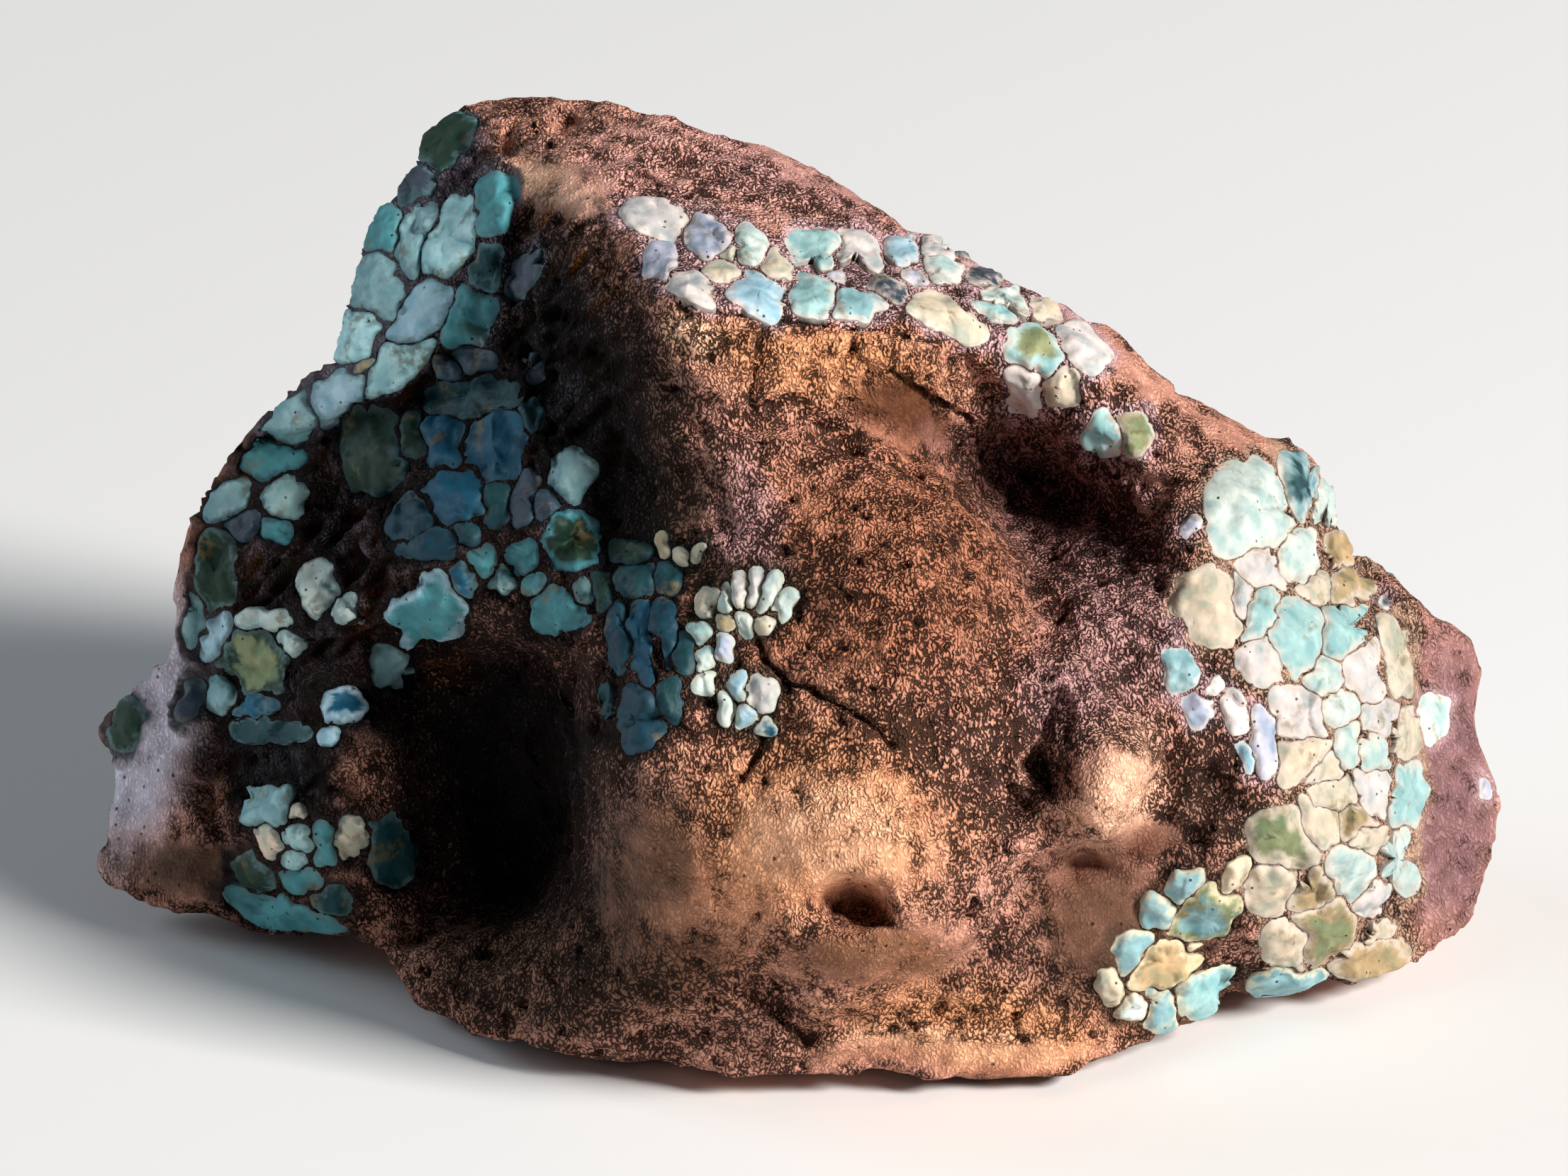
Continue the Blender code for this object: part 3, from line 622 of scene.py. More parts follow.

# Cracks, as lines of places on the face: grooves in the rock, also painted dark along them as shade.
cracks = [
    [(-1.2, 14.7), (-1.6, 12.6), (-1.9, 10.2)], [(3.1, 13.6), (2.8, 12.2)],
    [(-1.7, -1), (-1.3, -2), (-0.5, -2.7), (-0.3, -3.4)],
    [(-0.3, -3), (0.75, -3.3), (2.2, -4.1), (3.6, -4.9), (5, -6.1)],
    [(0.6, 9), (2.4, 8.4), (4.4, 8), (6.2, 7.2), (8.2, 5.9), (9.8, 4.5)],
    [(4.8, 12), (6, 11.2), (7.6, 10.3), (8.8, 9.7)], [(-1.2, -5.3), (-1.7, -6.4), (-2.5, -7.7)],
    [(11, 14.7), (13.2, 14.6)], [(-5.4, 15.4), (-3, 14.9), (0, 14.5), (4, 14.2), (7.4, 13.5)],
    [(-23.5, 10.2), (-22.3, 11.6)], [(-20.2, 13), (-19.3, 15.4)], [(8.9, -13.6), (8.7, -14.6)],
]

rockTints = {
    "pink": rgb(178, 126, 108),
    "rose": rgb(206, 150, 138),
    "golden": rgb(200, 136, 96),
    # a dark orange brown, painted shade on the brow's lower facet, which turns from the light; also laid in
    # the smooth dip low on the right
    "shadedOrange": rgb(80, 45, 27),
    "brown": rgb(160, 98, 66),
    "clay": rgb(86, 58, 43),
    "tawny": rgb(122, 82, 58),
    "ash": rgb(186, 178, 190),
    "greyLilac": rgb(82, 76, 86),
    "ridgeLilac": rgb(124, 116, 130),
    "mauve": rgb(166, 124, 122),
    "dustyMauve": rgb(119, 87, 89),
    # a pale sand tone: the rock's own high on the left and along the bottom, and a painted highlight on the
    # brow's upper left, the dome and the thumb
    "sand": rgb(240, 190, 156),
    # a dark brown, partly the rock's own and partly painted shade, on the nose's shadow side, left of the
    # dome, in the hole low on the right, under the foot and low on the left
    "umber": rgb(78, 58, 46),
    # near-black painted shadow, for the left flank, the nose's shadow side and the cave
    "paintedShade": rgb(34, 33, 36),
}

# Each patch: across, up, half width, half height, turn, tint, strength. The near-black patches are painted
# shadow on the left flank, the nose's shadow side and in the cave. The umber and dark orange ones are painted
# shade too, partly over the rock's own brown. The pale sand ones on the brow, the dome and the thumb are a
# painted highlight.
rockPatches = [
    (4, 2, 10, 8, 0, "brown", 0.7), (15.5, 2, 4, 8, 10, "mauve", 0.8),
    (13.2, -3.8, 2.8, 2.2, 0, "mauve", 0.9), (-2.2, 5.2, 1.9, 3.8, 18, "mauve", 0.85),
    (2, 12.4, 6.8, 2.7, -6, "golden", 0.9), (-4.4, 13.6, 1.6, 1.2, 0, "sand", 0.6),
    (5.6, 9.9, 3.2, 2, -20, "shadedOrange", 0.95), (1, -10, 8, 5, -10, "golden", 0.85),
    (1.4, -10.6, 4.6, 2.8, -8, "sand", 0.4), (-5, -14, 6, 5, 0, "golden", 0.5),
    (-7, -11, 2.6, 4.6, -20, "umber", 0.8), (-6.5, -16.5, 4.5, 2.4, 0, "clay", 0.75),
    (15.6, -8, 2.4, 3.2, -30, "sand", 0.45), (9, -19.5, 8, 2.4, 0, "golden", 0.95),
    (8, -20.4, 6, 1, 0, "sand", 0.35), (-11.4, 21.3, 2.8, 1.3, -22, "sand", 1),
    (4, -16.6, 5, 1.6, 0, "tawny", 0.95), (14.6, -14.8, 3.8, 4, 0, "clay", 0.95),
    (17.2, -10.8, 2.2, 1.2, 0, "shadedOrange", 0.7), (-21, 10, 9.5, 14, 0, "paintedShade", 0.9),
    (-24.5, -4, 6, 11, 0, "paintedShade", 0.92), (-17.5, 21.8, 3, 3.6, -20, "greyLilac", 0.9),
    (-11, 11, 4.4, 10.6, 4, "paintedShade", 1), (-13.8, -7, 6.2, 8, 0, "paintedShade", 1),
    (-12.4, -13.6, 5.6, 2.4, 0, "paintedShade", 0.8), (-8.6, 7, 3.6, 8.6, 10, "paintedShade", 0.95),
    (-5.2, 7, 1.6, 6, 14, "umber", 0.7), (12.4, 6.6, 5.2, 2.9, -25, "dustyMauve", 0.7),
    (20, -9.6, 2.6, 2.6, 0, "umber", 0.6), (-32, -5.6, 2.9, 7.6, -18, "ash", 1),
    (-4.6, 21.6, 7.4, 3.2, -10, "rose", 0.85), (-30, -12.8, 3.6, 1.5, 0, "umber", 0.95),
    (32.5, -8, 3.2, 10, 0, "dustyMauve", 0.95), (-25.4, -7.2, 4, 2, 0, "paintedShade", 1),
    (-20.8, -8, 2, 3, 0, "pink", 0.8), (-17.2, -2.4, 1.6, 0.9, 20, "brown", 0.8),
    (-12, -17.5, 7, 3.4, 0, "umber", 0.7), (1, 21, 6, 1.4, -22, "mauve", 0.5),
]

# Where the rock is smooth and clayey instead of grainy: across, up, half width, half height, turn, amount.
smoothPatches = [
    (4.5, -16.4, 5.2, 1.5, 4, 0.8), (15, -14.2, 3.2, 3.6, 20, 0.9), (17.2, -10.6, 2, 1, 0, 0.9),
    (-11.4, 21.3, 2.8, 1.4, -22, 1), (-32, -5.6, 3, 7.8, -18, 0.95), (33.2, -9, 3.2, 10, 0, 0.68),
    (-29.8, -12.4, 3.6, 1.6, 0, 0.8), (8, -21.4, 8, 0.9, 0, 0.8), (8, -19.8, 8, 1.8, 0, 0.15),
    (2, 12.6, 6.4, 2.4, -6, 0.3), (-4.6, 21.6, 7.4, 3, -10, 0.25), (4, 19, 6, 1.4, -24, 0.2),
    (1.4, -11.4, 5.4, 2.6, -8, 0.75), (2, -8.6, 6, 2.2, -8, 0.45), (15.4, -7.9, 2, 2.7, -25, 0.65),
    (-4.5, -14, 4, 4, 0, 0.5), (-6.8, -12.5, 3.4, 4.4, -10, 0.7), (-17, 22.6, 4, 2.6, 30, 0.25),
    (5.6, 9.7, 2.5, 1.7, -20, 0.85), (1, 22.2, 5, 0.9, -26, 0.9), (8.6, 17.9, 4, 0.7, -22, 0.8),
    (16, 13, 5, 1, -38, 0.8), (22, 9, 3.4, 0.8, -20, 0.8), (-24, 10.6, 9, 1.8, 46, 0.7),
    (-20.8, 17, 1.6, 6, -8, 0.7), (-29.6, 2, 1.4, 5, -10, 0.7),
]

# Where the gaps between the crumbs are wide and painted dark as shade, mostly in the hollows, the cave and on
# the nose's shadow side: across, up, half width, half height, turn, amount.
shadedGapPatches = [
    (11.6, 7, 5.4, 3.2, -25, 0.2), (5, 0, 8, 8, 0, 0.12), (6.4, -5.7, 1.7, 1.1, -20, 0.9),
    (10.2, -1.4, 0.7, 3.2, 6, 0.75), (4.6, -4.9, 1.2, 0.7, 0, 0.6), (10.4, -5.6, 1, 1, 0, 0.7),
    (9.4, -7, 1.4, 0.7, -30, 0.7), (2.8, 8.3, 1.4, 0.3, 0, 0.8), (8.6, 6, 1.6, 0.35, -38, 0.8),
    (-5.6, 9, 1.2, 5, 10, 0.5), (-5, 2.4, 1.4, 2, 0, 0.6), (16.4, 4.4, 2.4, 1.8, -50, 0.7),
    (11, -5.6, 3.2, 2.6, -30, 0.45), (20, -9, 2.6, 3.6, 0, 0.45), (-8, 8, 3.4, 8.5, 12, 0.6),
    (-13.8, -7, 6.4, 8.2, 0, 0.95), (-13, -13, 5, 2, 0, 0.7), (6, -3.4, 4, 2.6, 10, 0.25),
    (14.6, -0.4, 2.6, 3.6, 10, 0.25), (-2.4, 21.6, 5, 1.2, -10, 0.45), (-12.5, 12, 3, 10, 0, 0.5),
    (12.2, -7.6, 1.2, 1.6, 0, 0.8), (2.6, 9.2, 4.6, 0.7, -6, 0.35), (-10.4, 18.6, 1.6, 2.2, 20, 0.35),
    (15, 10.4, 3.6, 1, -30, 0.4), (8.6, -8.2, 3, 1.6, -20, 0.4), (-11, -17.6, 6, 3, 0, 0.4),
]

# Where thin ridges of rock run between the nodules: across, up, half width, half height, turn, amount.
ridgedPatches = [
    (-18, 14, 8, 11, 0, 1), (-23, 3, 8, 5, 0, 1), (-11.5, 13, 3.6, 9, 0, 0.7), (-26, -6, 4, 8, 0, 0.5),
]

# Where the rock is torn into crags: across, up, half width, half height, turn, amount.
craggyPatches = [
    (13, 7, 5, 2.8, -25, 1), (14.5, 0.5, 3, 4.5, 0, 0.7), (-12, 14, 3, 7, 0, 0.8), (-21, -7, 3, 4, 0, 1),
    (-25, 1, 5, 5, 0, 0.6), (-12, -1, 5, 2, 0, 0.9), (20, -9, 3, 3.5, 0, 0.8),
    (-5, 1.5, 2.5, 3.5, 0, 0.6), (3, 21, 8, 2.2, -24, 0.5), (-7, 21, 4, 3, 0, 0.5),
    (12, -18, 4, 3, 0, 0.4), (17, 11, 5, 2.4, -35, 0.6),
]

rockSettings = {
    "roundings": 1,
    "patchEdge": 1.22,
    "bareGap": 0.1,  # between the bare rock and the first nodule, mm
    "fuller": 0.00016,  # keeps the thin rims whole
    "voxel": 0.0002, "quickVoxel": 0.0003,
    "polish": 6,
    "mostTriangles": 196000,
    "ragged": 0.45, "raggedSpan": 2.2,  # how the forms' edges wander, mm
    "lip": 0.7, "lipCurve": 1.4,  # how wide a broken edge falls, mm, and how it fades
    "hollowWall": 4, "moundWall": 2.6,  # the steepness of their sides
    "chip": 0.09, "chipSpan": 3.6,
    "crag": 0.9, "cragSpan": 3.4, "cragLevel": 0.35, "unseenCrag": 0.7, "unseenCragSpan": 14.0,
    "torn": 0.35, "tornSpan": 1.7, "tornLevel": 0.30,
    "lump": 0.20, "lumpSpan": 2.4,
    "grain": 0.045, "grainSpan": 0.5,
    "crumb": 0.05, "crumbSpan": 0.8,
    "pit": 0.40, "pitSpan": 1.1, "pitLevel": 0.46,
    "crack": 0.6, "crackHalf": 0.15,
    "ridge": 0.55, "ridgeAcross": 1.1, "ridgeAlong": 3.6, "ridgeLevel": 0.22,
    "ridgeBend": 0.8, "ridgeBendSpan": 3.0,
    "bedding": 0.5,
}


def patchShare(flat, patch, softness=0.5):
    # 1 in the patch, and 0 from a fifth beyond its edge
    return np.clip((rockSettings["patchEdge"] - ovalShare(flat, *patch[:5])) / softness, 0, 1)


def mostShare(flat, patches):
    share = np.zeros(len(flat))
    for patch in patches:
        share = np.maximum(share, patchShare(flat, patch) * patch[5])
    return share


def besideLine(flat, line):
    nearest = np.full(len(flat), np.inf)
    right = np.zeros(len(flat), bool)
    for start, end in zip(np.array(line[:-1], float), np.array(line[1:], float)):
        run = end - start
        offset = flat - start - np.clip((flat - start) @ run / (run @ run), 0, 1)[:, None] * run
        distance = np.linalg.norm(offset, axis=1)
        closer = distance < nearest - 1e-9
        nearest = np.where(closer, distance, nearest)
        right = np.where(closer, run[0] * offset[:, 1] - run[1] * offset[:, 0] < 0, right)
    return nearest, right


# Distances behind the frontmost rock, in mm, measured in square columns. The front side takes in the
# hollows' walls, which are only just seen.
frontView = {
    "step": 0.6, "side": 80.0, "hidden": 3.5, "hiddenEdge": 1.2, "back": 7.0,
    "seen": (2.0, 4.5), "frontSide": (8.0, 13.0),
}


class Surface:
    # the rock's dense mesh in face places, with a tree to find it from any side
    def __init__(self, mesh):
        self.mesh = mesh
        corners = np.empty(len(mesh.loops), np.int64)
        mesh.loops.foreach_get("vertex_index", corners)
        self.corners = corners
        self.edgeOn = ramp(np.abs((meshNormals(mesh) @ faceTurn.T)[:, 2]), 0.45, 0.15)
        starts = np.empty(len(mesh.polygons), np.int64)
        mesh.polygons.foreach_get("loop_start", starts)
        self.starts = starts
        self.read()

    def read(self):
        self.places = facePlaces(meshPoints(self.mesh))
        self.normals = meshNormals(self.mesh) @ faceTurn.T
        self.markHidden()

    def markHidden(self):
        # how far each point lies behind the frontmost rock, and what the front view reaches of it
        step, side = frontView["step"], frontView["side"]
        column = ((self.places[:, :2] + side / 2) / step).astype(int)
        front = np.full((int(side / step) + 2,) * 2, -99.0)
        np.maximum.at(front, (column[:, 0], column[:, 1]), self.places[:, 2])
        behind = front[column[:, 0], column[:, 1]] - self.places[:, 2]
        facing = self.normals[:, 2]
        self.hidden = (behind > frontView["hidden"]) | ((facing < 0) & (behind > frontView["hiddenEdge"]))
        self.back = behind > frontView["back"]
        self.seen = ramp(facing, -0.12, 0.22) * (1 - ramp(behind, *frontView["seen"]))
        self.frontSide = ramp(facing, -0.35, 0.0) * (1 - ramp(behind, *frontView["frontSide"]))

    def push(self, move):
        # moves each point by so many millimetres in face axes, and leaves the flat underside where it is
        before = meshPoints(self.mesh)
        downward = -(self.normals @ faceTurn[:, 2])
        free = np.maximum(ramp(before[:, 2], 0.0003, 0.0014), 1 - ramp(downward, 0.2, 0.7))[:, None]
        points = before * (1 - free) + worldPoints(self.places + move) * free
        points[:, 2] = np.maximum(np.where(before[:, 2] < 0.0001, before[:, 2], points[:, 2]), 0)
        self.mesh.vertices.foreach_set("co", points.ravel())
        self.mesh.update()
        self.read()

    def plant(self):
        faces = np.split(self.corners, self.starts[1:])
        self.tree = BVHTree.FromPolygons(self.places.tolist(), [face.tolist() for face in faces])
        self.faceCorners = [face[:4] for face in faces]

    def under(self, start, towards, far=90.0):
        # the first rock from a place in a direction that isn't seen edge on: place and normal
        spot, _, face, _ = self.tree.ray_cast(Vector(start), Vector(towards), far)
        if spot is None:
            return None
        normal = self.normals[self.faceCorners[face]].mean(axis=0)
        normal /= np.linalg.norm(normal)
        return None if normal @ towards > -0.14 else (np.array(spot), normal)


def denseSkin():
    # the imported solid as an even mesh, fine enough to carve
    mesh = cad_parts["nugget"].data.copy()
    welder = bmesh.new()
    welder.from_mesh(mesh)
    bmesh.ops.remove_doubles(welder, verts=welder.verts, dist=1e-6)
    welder.to_mesh(mesh)
    welder.free()
    skin = bpy.data.objects.new("hostRock", mesh)
    bpy.context.scene.collection.objects.link(skin)
    rounded = skin.modifiers.new("rounded", "SUBSURF")
    rounded.levels = rounded.render_levels = rockSettings["roundings"]
    fuller = skin.modifiers.new("fuller", "DISPLACE")
    fuller.strength, fuller.mid_level = rockSettings["fuller"], 0.0
    even = skin.modifiers.new("even", "REMESH")
    even.mode = "VOXEL"
    even.voxel_size = rockSettings["voxel"]
    polish = skin.modifiers.new("polish", "SMOOTH")
    polish.iterations = rockSettings["polish"]
    polish.factor = 0.5
    keepShape(skin)
    return skin


def keepShape(item):
    graph = bpy.context.evaluated_depsgraph_get()
    made = bpy.data.meshes.new_from_object(item.evaluated_get(graph))
    item.modifiers.clear()
    item.data = made


def carveForms(surface):
    # edges, hollows, facets and crags: everything that the nodules sit on
    made = rockSettings
    places, seen = surface.places, surface.seen
    ragged = [layeredNoise(places, made["raggedSpan"], shift) for shift in (3.0, 33.0)]
    flat = places[:, :2] + np.column_stack(ragged) * made["ragged"]
    fall = np.zeros(len(places))
    for line, drop, fade in brokenEdges:
        distance, right = besideLine(flat, line)
        lip = np.clip(distance / made["lip"], 0, 1)
        fall += right * drop * lip * np.clip(1 - distance / fade, 0, 1) ** made["lipCurve"]
    for *oval, depth in hollows:
        fall += depth * np.exp(-ovalShare(flat, *oval) ** made["hollowWall"])
    for *oval, height in mounds:
        fall -= height * np.exp(-ovalShare(flat, *oval) ** made["moundWall"])
    move = np.zeros_like(places)
    move[:, 2] -= fall * seen

    smooth = smoothShare(surface)
    unseenCrags = ramp(layeredNoise(places, made["unseenCragSpan"], 70.0), 0.1, 0.5) * made["unseenCrag"]
    craggy = mostShare(flat, craggyPatches) * seen + unseenCrags * (1 - seen)
    _, _, number, offset = crumbNoise(places, made["chipSpan"], 4.0)
    chip = np.einsum("ij,ij->i", slopes[number], offset) * made["chip"]
    crag = made["cragLevel"] - np.abs(layeredNoise(places, made["cragSpan"], 14.0, 3))
    crag = crag * made["crag"] * craggy
    torn = (made["tornLevel"] - np.abs(layeredNoise(places, made["tornSpan"], 34.0))) * made["torn"]
    lump = layeredNoise(places, made["lumpSpan"], 24.0, 3) * made["lump"]
    rise = (chip + lump + torn) * (1 - 0.8 * smooth) + crag * (1 - 0.5 * smooth)
    surface.push(move + surface.normals * rise[:, None])


def thinRidges(places):
    # ridges that run down to the left, a millimetre apart
    made = rockSettings
    bent = places + layeredNoise(places, made["ridgeBendSpan"], 52.0)[:, None] * made["ridgeBend"]
    along, across = bent[:, :2] @ (0.72, 0.69), bent[:, :2] @ (0.69, -0.72)
    spots = np.column_stack([along, across, bent[:, 2]])
    spots /= (made["ridgeAlong"], made["ridgeAcross"], made["ridgeAlong"])
    return made["ridgeLevel"] - np.abs(layeredNoise(spots, 1.0, 8.0))


def smoothShare(surface):
    places = surface.places
    flat = places[:, :2] + layeredNoise(places, 2.2, 12.0)[:, None] * 0.7
    hidden = np.clip(layeredNoise(places, 11.0, 55.0) * 2.2 - 0.2, 0, 0.8)
    return hidden * (1 - surface.seen) + mostShare(flat, smoothPatches) * surface.seen


def rockColours(surface, field, inside, nodules):
    places = surface.places
    rough, drift = layeredNoise(places, 3.4, 10.0, 3), layeredNoise(places, 9.0, 30.0)
    flat = places[:, :2] + np.column_stack([rough, drift]) * 1.1
    tint = np.tile(np.array(rockTints["pink"]), (len(places), 1))
    for patch in rockPatches:
        share = (patchShare(flat, patch, 0.7) * patch[6] * surface.frontSide)[:, None]
        tint = tint * (1 - share) + np.array(rockTints[patch[5]]) * share
    for value, low, name in ((drift, 0.15, "golden"), (rough, 0.2, "mauve"), (-drift, 0.3, "brown")):
        share = (ramp(value, low, low + 0.3) * (1 - surface.frontSide) * 0.7)[:, None]
        tint = tint * (1 - share) + np.array(rockTints[name]) * share
    raised = (thinRidges(places) * mostShare(places[:, :2], ridgedPatches) * surface.seen)[:, None]
    tint = tint * (1 - raised) + np.array(rockTints["ridgeLilac"]) * raised
    # near the nodules the rock takes its bed's matrix tint, which on the left beds is near-black painted
    # shade in the gaps
    matrix = field.ofBed(nodules, "matrix")
    share = (ramp(inside, -0.5, -0.15) * 0.85 * (field.owner >= 0))[:, None]
    return tint * (1 - share) + matrix * share


def storeNumber(mesh, name, values):
    mesh.attributes.new(name, "FLOAT", "POINT").data.foreach_set("value", values.astype(np.float32))


def storeTint(mesh, name, colours):
    made = mesh.attributes.new(name, "FLOAT_COLOR", "POINT")
    made.data.foreach_set("color", colours.astype(np.float32).ravel())


def roughenRock(surface, nodules):
    made = rockSettings
    field = fieldOver(surface, nodules)
    inside = field.inside(np.where(field.owner < 0, made["bareGap"], field.ofBed(nodules, "gap")))
    places = surface.places
    smooth = smoothShare(surface)
    bare = np.clip(0.2 - inside * 4, 0, 1)  # away from the nodules

    grain = layeredNoise(places, made["grainSpan"], 7.0, 2)
    bent = places + np.column_stack([grain, grain, -grain]) * 0.12
    nearest, second, _, _ = crumbNoise(bent, made["crumbSpan"], 2.0)
    crumb = ramp(second - nearest, 0.0, 0.45)
    pitted = ramp(layeredNoise(places, made["pitSpan"], 17.0, 3), made["pitLevel"], made["pitLevel"] + 0.35)
    rise = grain * made["grain"] + (crumb - 0.7) * made["crumb"] - pitted * made["pit"]
    rise *= (1 - 0.85 * smooth) * bare * (0.35 + 0.65 * surface.seen)
    ridged = mostShare(places[:, :2], ridgedPatches) * surface.seen * bare
    rise += thinRidges(places) * made["ridge"] * ridged
    wall = field.ofBed(nodules, "wall")
    rise += wall * ramp(0.30 - np.abs(inside + 0.30), 0.0, 0.3) * (0.6 + 1.2 * np.abs(grain)) * surface.seen
    flat = places[:, :2] + np.column_stack([grain, pitted]) * 0.14
    split = np.zeros(len(places))
    for line in cracks:
        distance, _ = besideLine(flat, line)
        split = np.maximum(split, np.exp(-(distance / made["crackHalf"]) ** 2) * surface.seen)
    lift = field.ofBed(nodules, "lift")
    rise -= split * made["crack"] + ramp(inside, 0.0, 0.18) * (0.15 + made["bedding"] * lift)

    # painted shade: the cavity shade darkens the creases in the gaps between crumbs, in pits and dips, along
    # the cracks and over the listed shaded patches
    cavityShade = np.clip((1 - crumb) * 0.25 + pitted * 0.7 + np.clip(-grain, 0, 1) * 0.2, 0, 1)
    shadedGaps = mostShare(flat + layeredNoise(places, 2.6, 62.0)[:, None] * 1.2, shadedGapPatches)
    cavityShade = np.maximum(cavityShade * (1 - 0.7 * smooth) * bare, shadedGaps * surface.frontSide)
    tint = rockColours(surface, field, inside, nodules)
    surface.push(surface.normals * rise[:, None])
    mesh = surface.mesh
    storeNumber(mesh, "smoothRock", smooth)
    storeNumber(mesh, "rockCavityShade", np.maximum(cavityShade, split))
    storeTint(mesh, "rockTint", tint)


def thinOut(skin, edgeOn):
    mesh = skin.data
    mesh.calc_loop_triangles()
    worn = skin.vertex_groups.new(name="worn edge")
    for level in range(1, 6):
        worn.add(np.flatnonzero(np.round(edgeOn * 5) == level).tolist(), level / 5, "REPLACE")
    soft = skin.modifiers.new("worn edge", "SMOOTH")
    soft.vertex_group, soft.iterations, soft.factor = worn.name, 4, 0.5
    thin = skin.modifiers.new("thin", "DECIMATE")
    thin.ratio = min(1.0, rockSettings["mostTriangles"] / len(mesh.loop_triangles))
    dense = len(mesh.loop_triangles)
    keepShape(skin)
    skin.data.shade_smooth()
    skin.data.calc_loop_triangles()
    print("host rock:", dense, "triangles, thinned to", len(skin.data.loop_triangles))


noduleSettings = {
    "spacing": 0.17, "hiddenSpacing": 0.30,  # between the points round a nodule's edge, mm
    "fewest": 20, "most": 64,
    "steps": 22,  # out to its furthest reach
    "rings": (0.13, 0.26, 0.39, 0.52, 0.64, 0.74, 0.83, 0.90, 0.96, 1.0),
    "edgeShare": 0.05,  # of the nodule's lift, where it meets the seam
    "bevel": 0.28, "rimWidth": 0.8,  # how far in from the edge, mm
    "ripple": 0.035, "rippleSpan": 1.0, "dent": 0.03, "dentSpan": 0.35,
    "faces": 4, "facet": 0.17, "faceStart": 0.07, "deepestFace": -0.3,  # flat faces broken across the top
    "liftRange": (0.75, 1.25),
    "leastReach": 0.2, "leastUsualReach": 0.12,  # mm; smaller nodules are left out
    "narrowest": 0.06,
    "root": 0.45,  # how deep it is set into the rock
}


def insideNodule(nodule, rivals, places):
    # how far each place is inside the nodule's own oval and on its side of the neighbours, in mm
    bent = bentPlaces(places)
    own = nodule.depth(bent)
    other = np.full(len(places), outside)
    for rival in rivals:
        other = np.maximum(other, rival.depth(bent))
    return np.minimum(own, (own - other) / 2) - nodule.bed["gap"]


def noduleReach(nodule, rivals, surface, angles):
    # how far the nodule spreads in each direction before its own oval or a neighbour stops it
    made = noduleSettings
    steps = np.linspace(0, nodule.reach, made["steps"])
    found = np.full((len(angles), len(steps)), outside)
    spots, index = [], []
    for row, angle in enumerate(angles):
        towards = math.cos(angle) * nodule.axes[0] + math.sin(angle) * nodule.axes[1]
        last = None
        for column, step in enumerate(steps):
            hit = nodule.rockAt(surface, towards * step)
            if hit is None:
                break
            if last is not None and abs((hit[0] - last) @ nodule.axes[2]) > steps[1] * 5 + 0.1:
                break  # over an edge
            last = hit[0]
            spots.append(hit[0])
            index.append((row, column))
    if not spots:
        return np.zeros(len(angles))
    index = np.array(index)
    found[index[:, 0], index[:, 1]] = insideNodule(nodule, rivals, np.array(spots))
    reach = np.zeros(len(angles))
    for row in range(len(angles)):
        beyond = np.flatnonzero(found[row] < 0)
        end = beyond[0] if len(beyond) else len(steps) - 1
        if end == 0:
            continue
        before, after = found[row, end - 1], max(found[row, end], -0.6)
        reach[row] = steps[end - 1] + (steps[end] - steps[end - 1]) * before / (before - after + 1e-9)
    padded = np.concatenate([reach[-1:], reach, reach[:1]])
    return reach * 0.5 + (padded[:-2] + padded[2:]) * 0.25


